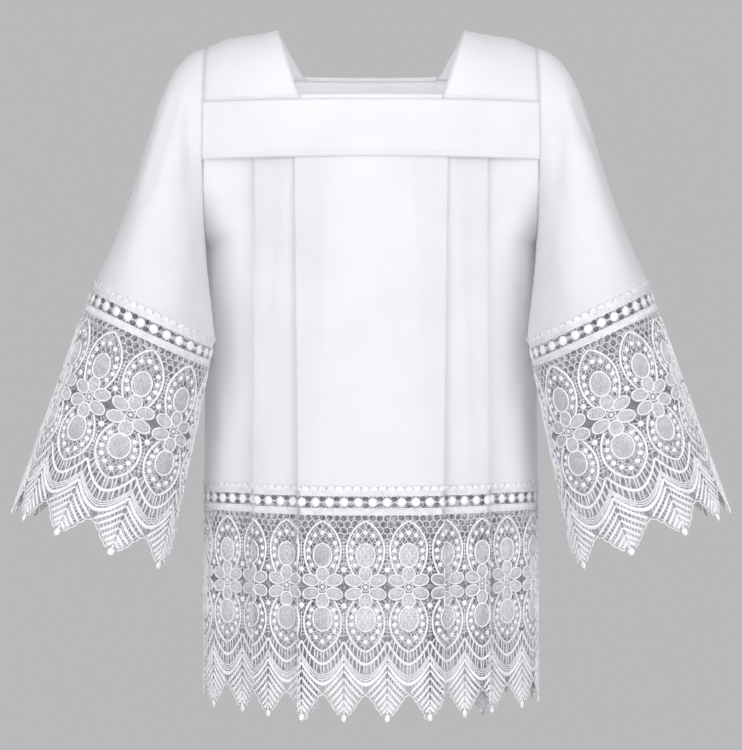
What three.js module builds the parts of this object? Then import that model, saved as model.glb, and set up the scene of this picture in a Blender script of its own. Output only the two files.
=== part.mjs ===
// A surplice: a white choir vestment with a square neck, a yoke, four knife pleats in front,
// two wide sleeves and a deep guipure lace border on the hem and on both sleeves.
// Millimetres. +Z is up, the front faces -Y, the origin lies on the shoulder line.
import * as THREE from "three";

// Walls and seams
const CLOTH_WALL = 1.2;
const LACE_WALL = 1.5;
const SEAM_GAP = 0.4;

// Neck
const NECK_FRONT = { halfWidth: 87.5, z: -87 };
const NECK_BACK = { halfWidth: 86.5, z: -40 };
const NECK_BAND_HEIGHT = 5;
const NECK_CREST_X = 118;

// Torso
const YOKE_BOTTOM = -165;
const YOKE_OVERLAP = 8;
const YOKE_LIFT = 2;
const YOKE_LIFT_FADE = 40;
const BODY_HALF = 209;
const ARMHOLE = { z: -140, halfHeight: 125, halfDepth: 75 };
const ARMHOLE_SPAN_DEG = 55;
const ARMHOLE_BLEND = { from: -330, to: -190 };
const CHEST_EDGE = { fadeFrom: -140, fadeTo: -345, keenness: 7 };
const SIDE_GAP = 0.3;
const HEM_SEAM = -565;

// The middle of the front and of the back, and the half width, at each height, from the top.
const SECTIONS = [
  { z: -40, front: 82, back: 75, half: 209 },
  { z: -92, front: 96.5, back: 91, half: 209 },
  { z: -165, front: 118, back: 106, half: 209 },
  { z: -265, front: 130, back: 116, half: 209 },
  { z: -400, front: 137, back: 121, half: 211 },
  { z: -565, front: 143, back: 125, half: 212 },
  { z: -900, front: 151, back: 130, half: 213 },
];

// The shoulder line from the neck to the armhole.
const CREST = [
  { x: 118, z: 8 },
  { x: 141, z: 3 },
  { x: 182, z: -3 },
  { x: 209, z: -15 },
];
const CREST_SETBACK = 5;

// The pleats on each side of the front, at the yoke and at the lace.
const PLEAT_TOP = { inner: 93.6, outer: 145.3, depth: 44, radius: 1.35 };
const PLEAT_HEM = { inner: 89, outer: 152, depth: 24.6, radius: 2.4 };
// Each pleat sets the cloth beside it back by two turns, in radii.
const PLEAT_SETBACK = 4;

// Sleeves
const SLEEVE_START = 210.2;
const CUFF = { outer: [341, -315], inner: [194, -386], y: -70, halfDepth: 90 };
const EDGE = { outer: [433, -570], inner: [246, -641], y: -74, halfDepth: 68 };
const CAP_BULGE = { x: 150, z: 240 };
// How far a sleeve stays clear of the body, and of the body's edge just below the armhole,
// with how soon along the sleeve each is reached.
const SLEEVE_CLEARANCE = { gap: 4, rise: 8 };
const EDGE_CLEARANCE = { gap: 1.2, rise: 30 };
const EDGE_TWIST = 0.3;
const SLEEVE_COLUMNS = 24;
const SLEEVE_ROWS = 9;

// Lace: one repeat, scaled for the hem and for the sleeves. v runs down from its upper edge.
const REPEAT = 55;
const HEM_LACE = { front: 15, back: 10, scale: 0.945, shift: 6.6 };
const SLEEVE_REPEATS = 10;
const VALLEY = 266.4;
const TIP = 300.7;
const INSERTION = { rows: [14.6, 20.3, 21.9, 27.6], gapHalf: 3.85 };
const DIAMOND = { top: 122.7, middle: 130.9, bottom: 139.1, half: 7.2 };

function ease(f) {
  const c = Math.min(1, Math.max(0, f));
  return c * c * (3 - 2 * c);
}

function lerp(a, b, f) {
  return a + (b - a) * f;
}

// The crest's height at x.
function crestZ(x) {
  let i = 0;
  while (i < CREST.length - 2 && CREST[i + 1].x < x) i += 1;
  return lerp(CREST[i].z, CREST[i + 1].z, (x - CREST[i].x) / (CREST[i + 1].x - CREST[i].x));
}

// A column of SECTIONS at z, on a smooth curve through its rows.
function section(z, column) {
  const slope = (k) => {
    const [a, b] = [SECTIONS[Math.max(0, k - 1)], SECTIONS[Math.min(SECTIONS.length - 1, k + 1)]];
    return (b[column] - a[column]) / (b.z - a.z);
  };
  let i = 0;
  while (i < SECTIONS.length - 2 && SECTIONS[i + 1].z > z) i += 1;
  const span = SECTIONS[i + 1].z - SECTIONS[i].z;
  const f = Math.min(1, Math.max(0, (z - SECTIONS[i].z) / span));
  const [start, end] = [SECTIONS[i][column], SECTIONS[i + 1][column]];
  const bend = f * (1 - f) * ((1 - f) * slope(i) - f * slope(i + 1)) * span;
  return lerp(start, end, ease(f)) + bend;
}

function armholeDepth(z) {
  const f = (z - ARMHOLE.z) / ARMHOLE.halfHeight;
  return ARMHOLE.halfDepth * Math.sqrt(Math.max(0, 1 - f * f));
}

// How far the chest stands forward at its sides, before the armhole draws its edge in.
function chestEdge(z) {
  if (z > CHEST_EDGE.fadeFrom) return armholeDepth(z);
  const span = CHEST_EDGE.fadeFrom - CHEST_EDGE.fadeTo;
  return ARMHOLE.halfDepth * (1 - ease((CHEST_EDGE.fadeFrom - z) / span));
}

function spanAngle(z) {
  const f = ease((z - ARMHOLE_BLEND.from) / (ARMHOLE_BLEND.to - ARMHOLE_BLEND.from));
  return THREE.MathUtils.degToRad(lerp(90, ARMHOLE_SPAN_DEG, f));
}

// A point of the front (side -1) or back (side 1), w from -1 to 1 across it.
function torso(side, w, z) {
  const most = spanAngle(z);
  const half = section(z, "half");
  const middle = section(z, side < 0 ? "front" : "back");
  const edge = chestEdge(z);
  const round = (Math.cos(w * most) - Math.cos(most)) / (1 - Math.cos(most));
  const x = (half * Math.sin(w * most)) / Math.sin(most);
  const drawnIn = (armholeDepth(z) - edge) * Math.abs(w) ** CHEST_EDGE.keenness;
  return new THREE.Vector3(x, side * (edge + (middle - edge) * round + drawnIn), z);
}

// w of the point whose x is given.
function across(x, z) {
  const most = spanAngle(z);
  const sine = (x * Math.sin(most)) / section(z, "half");
  return Math.asin(Math.min(1, Math.max(-1, sine))) / most;
}

// Lengths along the section from its middle, one for each step of w.
const ARC_STEPS = 60;
const W_STEP = 0.004;
const arcTables = new Map();
function arcTable(side, z) {
  const key = side + " " + z.toFixed(4);
  if (arcTables.has(key)) return arcTables.get(key);
  const lengths = [0];
  let last = torso(side, 0, z);
  for (let i = 1; i <= ARC_STEPS; i += 1) {
    const next = torso(side, i / ARC_STEPS, z);
    lengths.push(lengths[i - 1] + next.distanceTo(last));
    last = next;
  }
  arcTables.set(key, lengths);
  return lengths;
}

function wAtLength(side, s, z) {
  const lengths = arcTable(side, z);
  const size = Math.abs(s);
  let i = 0;
  while (i < ARC_STEPS - 1 && lengths[i + 1] < size) i += 1;
  const f = (size - lengths[i]) / (lengths[i + 1] - lengths[i]);
  return (Math.sign(s) * (i + f)) / ARC_STEPS;
}

function lengthAtX(side, x, z) {
  const at = across(x, z) * ARC_STEPS;
  const i = Math.min(ARC_STEPS - 1, Math.floor(at));
  const lengths = arcTable(side, z);
  return lerp(lengths[i], lengths[i + 1], at - i);
}

// One half of the pleated front at a height: runs and turns, in order from the middle.
function pleatPath(z) {
  const f = Math.min(1, Math.max(0, (YOKE_BOTTOM - z) / (YOKE_BOTTOM - HEM_SEAM)));
  const r = lerp(PLEAT_TOP.radius, PLEAT_HEM.radius, f);
  const depth = lerp(PLEAT_TOP.depth, PLEAT_HEM.depth, f);
  const inner = lengthAtX(-1, lerp(PLEAT_TOP.inner, PLEAT_HEM.inner, f), z);
  const outer = lengthAtX(-1, lerp(PLEAT_TOP.outer, PLEAT_HEM.outer, f), z);
  const side = arcTable(-1, z)[ARC_STEPS];
  const path = [];
  let from = 0;
  let sunk = 0;
  for (const edge of [inner, outer]) {
    path.push({ run: [from, edge - r], sunk: [sunk, sunk] });
    path.push({ turn: edge - r, way: 1, sunk: sunk });
    path.push({ run: [edge - r, edge - depth + r], sunk: [sunk + 2 * r, sunk + 2 * r] });
    path.push({ turn: edge - depth + r, way: -1, sunk: sunk + 2 * r });
    from = edge - depth + r;
    sunk += PLEAT_SETBACK * r;
  }
  path.push({ run: [from, outer], sunk: [sunk, sunk] });
  path.push({ run: [outer, side], sunk: [sunk, 0] });
  return { path, r };
}

function lengthOf(part, r) {
  return part.run ? Math.abs(part.run[1] - part.run[0]) : Math.PI * r;
}

// The same labels are used at each height: millimetres along the path at the lace seam.
const HEM_PATH = pleatPath(HEM_SEAM);
const LABELS = [0];
for (const part of HEM_PATH.path) {
  LABELS.push(LABELS[LABELS.length - 1] + lengthOf(part, HEM_PATH.r));
}
const FRONT_HALF = LABELS[LABELS.length - 1];

function skirtFront(label, z) {
  const size = Math.min(Math.abs(label), FRONT_HALF);
  let i = 0;
  while (i < LABELS.length - 2 && LABELS[i + 1] < size) i += 1;
  const f = (size - LABELS[i]) / (LABELS[i + 1] - LABELS[i]);
  const { path, r } = pleatPath(z);
  const part = path[i];
  let s;
  let sunk;
  if (part.run) {
    s = lerp(part.run[0], part.run[1], f);
    sunk = lerp(part.sunk[0], part.sunk[1], ease(f));
  } else {
    s = part.turn + part.way * r * Math.sin(Math.PI * f);
    sunk = part.sunk + r * (1 - Math.cos(Math.PI * f));
  }
  const lift = YOKE_LIFT * ease((z - YOKE_BOTTOM + YOKE_LIFT_FADE) / YOKE_LIFT_FADE);
  const w = wAtLength(-1, Math.sign(label) * s, z);
  const point = torso(-1, w, z);
  const ahead = torso(-1, w + W_STEP, z).sub(torso(-1, w - W_STEP, z)).normalize();
  return point.add(new THREE.Vector3(-ahead.y, ahead.x, 0).multiplyScalar(sunk + lift));
}

// A shoulder piece: p from the neck to the armhole, q from the front seam over the crest.
function strap(p, q) {
  const side = q < 0 ? -1 : 1;
  const endZ = q < 0 ? NECK_FRONT.z - NECK_BAND_HEIGHT : NECK_BACK.z - NECK_BAND_HEIGHT;
  const neckHalf = q < 0 ? NECK_FRONT.halfWidth : NECK_BACK.halfWidth;
  const crestX = lerp(NECK_CREST_X, BODY_HALF, p);
  const top = crestZ(crestX);
  const crestY = lerp(CREST_SETBACK, 0, p);
  const endX = lerp(neckHalf, BODY_HALF, p);
  const endY = torso(side, across(endX, endZ), endZ).y;
  const height = top - ARMHOLE.z;
  const most = Math.acos((endZ - ARMHOLE.z) / height);
  const angle = Math.abs(q) * most;
  const z = ARMHOLE.z + height * Math.cos(angle);
  const y = crestY + ((endY - crestY) * Math.sin(angle)) / Math.sin(most);
  const x = endX + ((crestX - endX) * (z - endZ)) / (top - endZ);
  return new THREE.Vector3(x, y, z);
}

function loopPoint(loop, angle) {
  const mid = [(loop.outer[0] + loop.inner[0]) / 2, (loop.outer[1] + loop.inner[1]) / 2];
  const x = mid[0] + (loop.outer[0] - mid[0]) * Math.cos(angle);
  const z = mid[1] + (loop.outer[1] - mid[1]) * Math.cos(angle);
  return new THREE.Vector3(x, loop.y - loop.halfDepth * Math.sin(angle), z);
}

// Moves a point of a sleeve out to just clear of the body.
function clearOfBody(point, margin) {
  if (point.z > ARMHOLE.z - ARMHOLE.halfHeight) return point;
  const half = section(point.z, "half") + margin;
  const depth = section(point.z, point.y < 0 ? "front" : "back") + margin;
  const reach = Math.hypot(point.x / half, point.y / depth);
  if (reach < 1) {
    point.x /= reach;
    point.y /= reach;
  }
  return point;
}

// A sleeve: angle 0 is its outer edge and a quarter turn is its front; t from 0 at the
// armhole to 1 at the lace.
function sleeve(angle, t) {
  const start = new THREE.Vector3(
    SLEEVE_START,
    -ARMHOLE.halfDepth * Math.sin(angle),
    ARMHOLE.z + ARMHOLE.halfHeight * Math.cos(angle),
  );
  const point = start.clone().lerp(loopPoint(CUFF, angle), t);
  const bulge = t * (1 - t) ** 3 * ((1 + Math.cos(angle)) / 2) ** 1.5;
  point.x += CAP_BULGE.x * bulge;
  point.z += CAP_BULGE.z * bulge;
  const margin = ({ gap, rise }) => gap * Math.min(1, t * rise);
  return clearOfBody(point, margin(SLEEVE_CLEARANCE) + margin(EDGE_CLEARANCE));
}

function sleeveLace(u, v) {
  const angle = (2 * Math.PI * u) / (SLEEVE_REPEATS * REPEAT);
  const f = v / VALLEY;
  const turned = angle - EDGE_TWIST * Math.sin(angle) * f;
  const point = loopPoint(CUFF, turned).lerp(loopPoint(EDGE, turned), f);
  return clearOfBody(point, SLEEVE_CLEARANCE.gap + EDGE_CLEARANCE.gap);
}

// Joins rows of points into triangles in the flat; leaves out those inside a hole.
function knit(rows, holes) {
  const points = [];
  const faces = [];
  const lines = rows.map((row) => row.map((p) => points.push(p) - 1));
  const inHole = (...corners) => {
    const u = corners.reduce((sum, c) => sum + points[c][0], 0) / 3;
    const v = corners.reduce((sum, c) => sum + points[c][1], 0) / 3;
    return holes.some((hole) => hole(u, v));
  };
  for (let i = 0; i + 1 < lines.length; i += 1) {
    const [upper, lower] = [lines[i], lines[i + 1]];
    let [a, b] = [0, 0];
    while (a < upper.length - 1 || b < lower.length - 1) {
      const nextUpper = a < upper.length - 1 ? points[upper[a + 1]][0] : Infinity;
      const nextLower = b < lower.length - 1 ? points[lower[b + 1]][0] : Infinity;
      const level = Math.abs(nextUpper - nextLower) < 1e-6 && (a + b) % 2 === 0;
      const stepUpper = nextUpper < nextLower - 1e-6 || level;
      const face = stepUpper
        ? [upper[a], lower[b], upper[a + 1]]
        : [upper[a], lower[b], lower[b + 1]];
      if (stepUpper) a += 1;
      else b += 1;
      if (!inHole(...face)) faces.push(face);
    }
  }
  return { points, faces };
}

function volumeOf(positions, index) {
  const corner = (i) => new THREE.Vector3().fromArray(positions, 3 * index[i]);
  let sum = 0;
  for (let i = 0; i < index.length; i += 3) {
    sum += corner(i).dot(corner(i + 1).cross(corner(i + 2)));
  }
  return sum;
}

// A closed wall on both sides of a surface, from a flat mesh of it.
function wallOf(flat, surface, thickness, name, colour, loopLength = 0) {
  const STEP = 0.05;
  const positions = [];
  const index = [];
  const keys = new Map();
  const used = flat.points.map((p) => {
    const u = loopLength ? ((p[0] % loopLength) + loopLength) % loopLength : p[0];
    const wrapped = loopLength && loopLength - u < 1e-6 ? 0 : u;
    const key = wrapped.toFixed(5) + " " + p[1].toFixed(5);
    if (!keys.has(key)) {
      keys.set(key, keys.size);
      const mid = surface(wrapped, p[1]);
      const alongU = surface(wrapped + STEP, p[1]).sub(surface(wrapped - STEP, p[1]));
      const alongV = surface(wrapped, p[1] + STEP).sub(surface(wrapped, p[1] - STEP));
      const out = alongV.cross(alongU).normalize().multiplyScalar(thickness / 2);
      positions.push(...mid.clone().add(out), ...mid.clone().sub(out));
    }
    return keys.get(key);
  });
  const edges = new Map();
  for (const face of flat.faces) {
    const [a, b, c] = face.map((i) => used[i]);
    index.push(2 * a, 2 * b, 2 * c, 2 * a + 1, 2 * c + 1, 2 * b + 1);
    for (const [from, to] of [[a, b], [b, c], [c, a]]) {
      const back = to + " " + from;
      if (edges.has(back)) edges.delete(back);
      else edges.set(from + " " + to, [from, to]);
    }
  }
  for (const [from, to] of edges.values()) {
    index.push(2 * from, 2 * from + 1, 2 * to, 2 * to, 2 * from + 1, 2 * to + 1);
  }
  const geometry = new THREE.BufferGeometry();
  geometry.setAttribute("position", new THREE.Float32BufferAttribute(positions, 3));
  geometry.setIndex(volumeOf(positions, index) < 0 ? index.reverse() : index);
  geometry.computeVertexNormals();
  const material = new THREE.MeshStandardMaterial({ color: colour, roughness: 0.9 });
  const mesh = new THREE.Mesh(geometry, material);
  mesh.name = name;
  return mesh;
}

function steps(from, to, count) {
  return Array.from({ length: count + 1 }, (_, i) => lerp(from, to, i / count));
}

function grid(columns, lines) {
  return knit(lines.map((v) => columns.map((u) => [u, v])), []);
}

function mirrored(surface) {
  return (u, v) => surface(u, v).multiply(new THREE.Vector3(-1, 1, 1));
}

const CLOTH = 0xf7f6fb;
const LACE = 0xf3f2f7;
const part = new THREE.Group();
part.name = "surplice";

// Yoke and neck bands
const yokeTop = NECK_FRONT.z - NECK_BAND_HEIGHT;
const backTop = NECK_BACK.z - NECK_BAND_HEIGHT;
const frontSurface = (w, v) => torso(-1, w, -v);
const backSurface = (w, v) => torso(1, w, -v);
const EDGE_W = 0.999;
part.add(
  wallOf(grid(steps(-EDGE_W, EDGE_W, 16), steps(-yokeTop, -YOKE_BOTTOM, 4)),
    frontSurface, CLOTH_WALL, "front_yoke", CLOTH),
);

function neckBand(side, neck, name) {
  const surface = side < 0 ? frontSurface : backSurface;
  const most = across(neck.halfWidth - SEAM_GAP, neck.z);
  const lines = [-neck.z, -neck.z + NECK_BAND_HEIGHT - SEAM_GAP];
  return wallOf(grid(steps(-most, most, 8), lines), surface, CLOTH_WALL, name, CLOTH);
}
part.add(neckBand(-1, NECK_FRONT, "neck_band_front"));
part.add(neckBand(1, NECK_BACK, "neck_band_back"));

// Shoulder pieces
const STRAP_END = 0.995;
const strapFlat = grid(steps(0, 1, 7), steps(-STRAP_END, STRAP_END, 14));
part.add(wallOf(strapFlat, strap, CLOTH_WALL, "shoulder_right", CLOTH));
part.add(wallOf(strapFlat, mirrored(strap), CLOTH_WALL, "shoulder_left", CLOTH));

// Back panel
const sideW = (z) => 1 - SIDE_GAP / arcTable(1, z)[ARC_STEPS];
const BACK_LINES = [-backTop, 70, 92, 128, 165, 200, 232, 250, 260, 264.8, 272, 305, 400, 482,
  -HEM_SEAM];
part.add(
  wallOf(knit(BACK_LINES.map((v) => steps(-1, 1, 18).map((w) => [w * sideW(-v), v])), []),
    backSurface, CLOTH_WALL, "back_panel", CLOTH),
);

// Pleated front
const TURN_STEPS = 4;
function pleatColumns(runStep) {
  const half = [];
  HEM_PATH.path.forEach((piece, i) => {
    const length = LABELS[i + 1] - LABELS[i];
    const count = piece.run ? Math.max(1, Math.round(length / runStep)) : TURN_STEPS;
    half.push(...steps(LABELS[i], LABELS[i + 1], count).slice(i ? 1 : 0));
  });
  half[half.length - 1] -= SIDE_GAP;
  return [...half.slice(1).map((s) => -s).reverse(), ...half];
}
const SKIRT_LINES = [-YOKE_BOTTOM - YOKE_OVERLAP, 173, 200, 232, 250, 260, 264.8, 272, 305, 400,
  482, -HEM_SEAM];
const skirtSurface = (label, v) => skirtFront(label, -v);
part.add(
  wallOf(grid(pleatColumns(26), SKIRT_LINES), skirtSurface, CLOTH_WALL, "front_skirt", CLOTH),
);

// Rows of a strip of lace between two values of u, and the gaps cut through it.
// closed(low, high) is true where a gap would fall on a fold.
const END_MARGIN = 2;
const FOLD_MARGIN = 1.5;
const LEAST_STEP = 1;
function laceFlat(from, to, extra, closed) {
  const first = Math.floor(from / REPEAT) - 1;
  const last = Math.ceil(to / REPEAT) + 1;
  const row = (offsets, height) => {
    const us = [from, to, ...extra];
    for (let k = first; k <= last; k += 1) us.push(...offsets.map((o) => k * REPEAT + o));
    const kept = us.filter((u) => u >= from && u <= to).sort((a, b) => a - b);
    const near = (u, list) => list.some((e) => Math.abs(u - e) < LEAST_STEP);
    const thinned = kept.filter((u, i) => {
      const fixed = u === from || u === to || extra.includes(u);
      return (fixed || !near(u, [from, to, ...extra])) && (i === 0 || u > kept[i - 1]);
    });
    return thinned.map((u) => [u, height(u)]);
  };
  const third = REPEAT / 3;
  const centres = [-third, 0, third];
  const sides = centres.flatMap((c) => [c - INSERTION.gapHalf, c + INSERTION.gapHalf]);
  const edgeAt = (u) => {
    const off = Math.abs(u / REPEAT - Math.round(u / REPEAT)) * 2;
    return lerp(VALLEY, TIP, off);
  };
  const half = REPEAT / 2;
  const rows = [
    row([-third, 0, third], () => 0),
    ...INSERTION.rows.map((v) => row(sides, () => v)),
    row([0, half], () => DIAMOND.top),
    row([0, half - DIAMOND.half, DIAMOND.half - half], () => DIAMOND.middle),
    row([0, half], () => DIAMOND.bottom),
    row([0, half], edgeAt),
  ];
  const holes = [];
  const cut = (low, high, test) => {
    if (low < from + END_MARGIN || high > to - END_MARGIN || closed(low, high)) return;
    holes.push(test);
  };
  for (let k = first; k <= last; k += 1) {
    for (const c of centres) {
      const [low, high] = [k * REPEAT + c - INSERTION.gapHalf, k * REPEAT + c + INSERTION.gapHalf];
      for (const i of [0, 2]) {
        const [above, below] = [INSERTION.rows[i], INSERTION.rows[i + 1]];
        cut(low, high, (u, v) => u > low && u < high && v > above && v < below);
      }
    }
    const mid = k * REPEAT + half;
    cut(mid - DIAMOND.half, mid + DIAMOND.half, (u, v) => {
      const up = DIAMOND.middle - DIAMOND.top;
      return Math.abs(u - mid) / DIAMOND.half + Math.abs(v - DIAMOND.middle) / up < 1;
    });
  }
  return knit(rows, holes);
}
const never = () => false;

// Hem lace: u is scaled so that the repeats fill the seam.
const frontRepeat = (2 * FRONT_HALF) / HEM_LACE.front;
const toLabel = (u) => (u * frontRepeat) / REPEAT - HEM_LACE.shift;
const toU = (label) => ((label + HEM_LACE.shift) * REPEAT) / frontRepeat;
const hemZ = (v) => HEM_SEAM - SEAM_GAP - v * HEM_LACE.scale;
const turns = [];
HEM_PATH.path.forEach((piece, i) => {
  if (piece.run) return;
  turns.push([toU(LABELS[i]), toU(LABELS[i + 1])]);
  turns.push([toU(-LABELS[i + 1]), toU(-LABELS[i])]);
});
const turnColumns = turns.flatMap(([a, b]) => steps(a, b, TURN_STEPS));
const onTurn = (low, high) => turns.some(([a, b]) => a - FOLD_MARGIN < high && b + FOLD_MARGIN > low);
const frontEnds = [toU(-FRONT_HALF + SIDE_GAP), toU(FRONT_HALF - SIDE_GAP)];
part.add(
  wallOf(laceFlat(...frontEnds, turnColumns, onTurn),
    (u, v) => skirtFront(toLabel(u), hemZ(v)), LACE_WALL, "hem_lace_front", LACE),
);
const backHalf = (HEM_LACE.back * REPEAT) / 2;
const backEnds = [-backHalf * sideW(HEM_SEAM), backHalf * sideW(HEM_SEAM)];
part.add(
  wallOf(laceFlat(...backEnds, [], never),
    (u, v) => {
      const s = (-u / backHalf) * arcTable(1, hemZ(v))[ARC_STEPS];
      return torso(1, wAtLength(1, s, hemZ(v)), hemZ(v));
    },
    LACE_WALL, "hem_lace_back", LACE),
);

// Sleeves, right then left
const sleeveColumns = steps(0, 2 * Math.PI, SLEEVE_COLUMNS);
const sleeveLines = [0, 0.02, ...steps(0.08, 1, SLEEVE_ROWS)];
const halfLoop = (SLEEVE_REPEATS * REPEAT) / 2;
const sleeveFlat = grid(sleeveColumns, sleeveLines);
const laceSurface = (u, v) => sleeveLace(u, v + SEAM_GAP);
const halves = [
  { name: "front", flat: laceFlat(SIDE_GAP, halfLoop - SIDE_GAP, [], never) },
  { name: "back", flat: laceFlat(halfLoop + SIDE_GAP, 2 * halfLoop - SIDE_GAP, [], never) },
];
const hands = [
  { hand: "right", turned: (surface) => surface },
  { hand: "left", turned: mirrored },
];
for (const { hand, turned } of hands) {
  part.add(
    wallOf(sleeveFlat, turned(sleeve), CLOTH_WALL, "sleeve_" + hand, CLOTH, 2 * Math.PI),
  );
  for (const { name, flat } of halves) {
    part.add(
      wallOf(flat, turned(laceSurface), LACE_WALL, "sleeve_lace_" + hand + "_" + name, LACE),
    );
  }
}

export default part;
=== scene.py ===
"""A surplice: a white pleated vestment whose hem and sleeves end in deep guipure lace."""

import math

import bmesh
import bpy
import numpy as np
from bpy.props import FloatProperty, FloatVectorProperty, IntProperty, PointerProperty

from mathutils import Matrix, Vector


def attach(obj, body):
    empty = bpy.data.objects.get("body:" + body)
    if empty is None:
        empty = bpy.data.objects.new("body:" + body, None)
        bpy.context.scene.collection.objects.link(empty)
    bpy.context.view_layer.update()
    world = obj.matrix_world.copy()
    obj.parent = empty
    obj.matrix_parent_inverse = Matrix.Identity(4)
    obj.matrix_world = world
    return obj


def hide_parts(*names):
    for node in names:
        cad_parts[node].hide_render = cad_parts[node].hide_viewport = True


bl_info = {
    "name": "Surplice",
    "version": (1, 0, 0),
    "blender": (4, 5, 0),
    "location": "View3D > Sidebar > Surplice",
    "description": "Builds a pleated surplice with guipure lace borders",
    "category": "Object",
}

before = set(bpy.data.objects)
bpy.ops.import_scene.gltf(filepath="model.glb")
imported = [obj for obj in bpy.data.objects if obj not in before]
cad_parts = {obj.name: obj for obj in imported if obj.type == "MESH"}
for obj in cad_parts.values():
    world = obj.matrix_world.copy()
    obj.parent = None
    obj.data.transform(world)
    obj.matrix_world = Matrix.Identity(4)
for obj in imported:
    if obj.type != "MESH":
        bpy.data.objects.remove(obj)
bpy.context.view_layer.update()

# The garment's sizes are in millimetres, and its meshes are in metres.
METRES = 0.001

NECK_FRONT = {"half": 87.5, "z": -87.0}
NECK_BACK = {"half": 86.5, "z": -40.0}
NECK_BAND = 5.0
NECK_CREST_X = 118.0
YOKE_BOTTOM = -165.0
YOKE_OVERLAP = 8.0
YOKE_LIFT = 2.0
YOKE_LIFT_FADE = 40.0
BODY_HALF = 209.0
ARMHOLE_Z = -140.0
ARMHOLE_HALF_HEIGHT = 125.0
ARMHOLE_HALF_DEPTH = 75.0
ARMHOLE_SPAN = math.radians(55)
ARMHOLE_BLEND = (-330.0, -190.0)
# The sides of the chest fade from the armhole's depth between these heights, and are drawn in
# towards the armhole the later the higher their keenness is.
CHEST_EDGE = (-140.0, -345.0)
CHEST_KEENNESS = 14
HEM_SEAM = -565.0
LOWEST = -900.0

# z, the middle of the front, the middle of the back, half the width
SECTIONS = np.array(
    [
        (-900, 151, 130, 213),
        (-565, 143, 125, 212),
        (-400, 137, 121, 211),
        (-265, 130, 116, 209),
        (-165, 118, 106, 209),
        (-92, 96.5, 91, 209),
        (-40, 82, 75, 209),
    ],
    float,
)
SECTION_SOFTNESS = 28

# x, z of the shoulder line from the neck to the armhole
CREST = np.array([(118, 8), (141, 3), (182, -3), (209, -15)], float)
CREST_SETBACK = 5.0

# x of the inner and the outer fold, depth of a pleat, radius of its turns
PLEAT_TOP = (93.6, 145.3, 44.0, 1.35)
PLEAT_HEM = (89.0, 152.0, 24.6, 2.4)
# A small step of w, to find which way the section runs
W_STEP = 0.004

SLEEVE_START = 209.1
# outer x and z, inner x and z, y, half the depth
CUFF = (341, -315, 194, -386, -70, 90)
EDGE = (433, -570, 246, -641, -74, 68)
CAP_BULGE = (150.0, 240.0)
# How far the cloth of a sleeve stands clear of the body, and how fast it gets there, in two steps
SLEEVE_MARGINS = ((4.0, 8), (1.2, 30))
SLEEVE_CLEARANCE = 5.2
SLEEVE_LONG = 330.0
EDGE_TWIST = 0.3

# Creases that show in the cloth. Each is a soft ridge (height above 0) or trough along
# the line from x0, z0 to x1, z1, as seen from the front (side -1) or from behind (side 1).
# side, x0, z0, x1, z1, half the width, height
CREASES = [
    (-1, -241, -82, -275, -222, 9, -3.2),
    (-1, -227, -95, -218, -206, 8, -3.6),
    (-1, -256, -120, -292, -300, 16, 2.6),
    (-1, -214, -220, -232, -350, 10, 2.4),
    (-1, 235, -80, 226, -208, 9, -3.0),
    (-1, 254, -86, 286, -166, 8, -3.4),
    (-1, 262, -150, 304, -300, 15, 2.4),
    (-1, 216, -230, 240, -352, 11, 2.2),
    (-1, -196, -262, -178, -470, 13, -2.4),
    (-1, -184, -470, -190, -640, 12, 2.2),
    (-1, 196, -262, 182, -450, 12, -2.2),
    (-1, 188, -440, 192, -620, 12, 2.0),
    (-1, -30, -230, -44, -520, 26, 1.6),
    (-1, 34, -260, 22, -540, 24, -1.4),
    (-1, -118, -210, -124, -500, 9, -1.6),
    (-1, 120, -230, 128, -520, 9, -1.6),
    (-1, -60, -600, -66, -830, 14, 2.0),
    (-1, 62, -600, 70, -830, 14, 2.0),
    (1, -70, -120, -96, -540, 26, -4.2),
    (1, -20, -150, -12, -560, 30, 3.8),
    (1, 58, -110, 80, -560, 24, -4.0),
    (1, 128, -200, 142, -560, 22, 3.4),
    (1, -140, -180, -150, -560, 24, 3.2),
    (1, 10, -560, 18, -840, 24, 3.2),
    (1, -90, -560, -100, -840, 22, -3.0),
    (1, 96, -560, 104, -840, 22, -3.0),
    (1, -238, -90, -262, -230, 12, -3.0),
    (1, 240, -90, 262, -230, 12, -3.0),
    (1, -222, -160, -226, -320, 10, 2.6),
    (1, 222, -150, 228, -320, 10, 2.6),
]

# The lace repeat, in millimetres: u from its middle, v down from its upper edge.
REPEAT = 55.0
LACE_DEPTH = 300.7
VALLEY = 266.4
HEM_REPEATS = {"front": 15, "back": 10}
HEM_SCALE = 0.945
HEM_SHIFT = 6.6
SLEEVE_REPEATS = 10
# The distance of the lace from the cloth at the seam, and of the two halves of a border
SEAM_GAP = 0.4


def ease(f):
    c = np.clip(f, 0.0, 1.0)
    return c * c * (3 - 2 * c)


def lerp(a, b, f):
    return a + (b - a) * f


def softened(column):
    """A column of SECTIONS as a function of z, with its corners rounded."""
    z = np.arange(LOWEST, 1.0, 2.0)
    values = np.interp(z, SECTIONS[:, 0], SECTIONS[:, column])
    window = np.hanning(2 * SECTION_SOFTNESS + 1)
    window /= window.sum()
    padded = np.pad(values, SECTION_SOFTNESS, mode="reflect", reflect_type="odd")
    smooth = np.convolve(padded, window, mode="valid")
    return lambda at: np.interp(at, z, smooth)


FRONT_MIDDLE = softened(1)
BACK_MIDDLE = softened(2)
BODY_WIDTH = softened(3)


def points(x, y, z):
    return np.stack(np.broadcast_arrays(x, y, z), axis=-1).astype(float)


def armhole_depth(z):
    f = (z - ARMHOLE_Z) / ARMHOLE_HALF_HEIGHT
    return ARMHOLE_HALF_DEPTH * np.sqrt(np.maximum(0, 1 - f * f))


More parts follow.
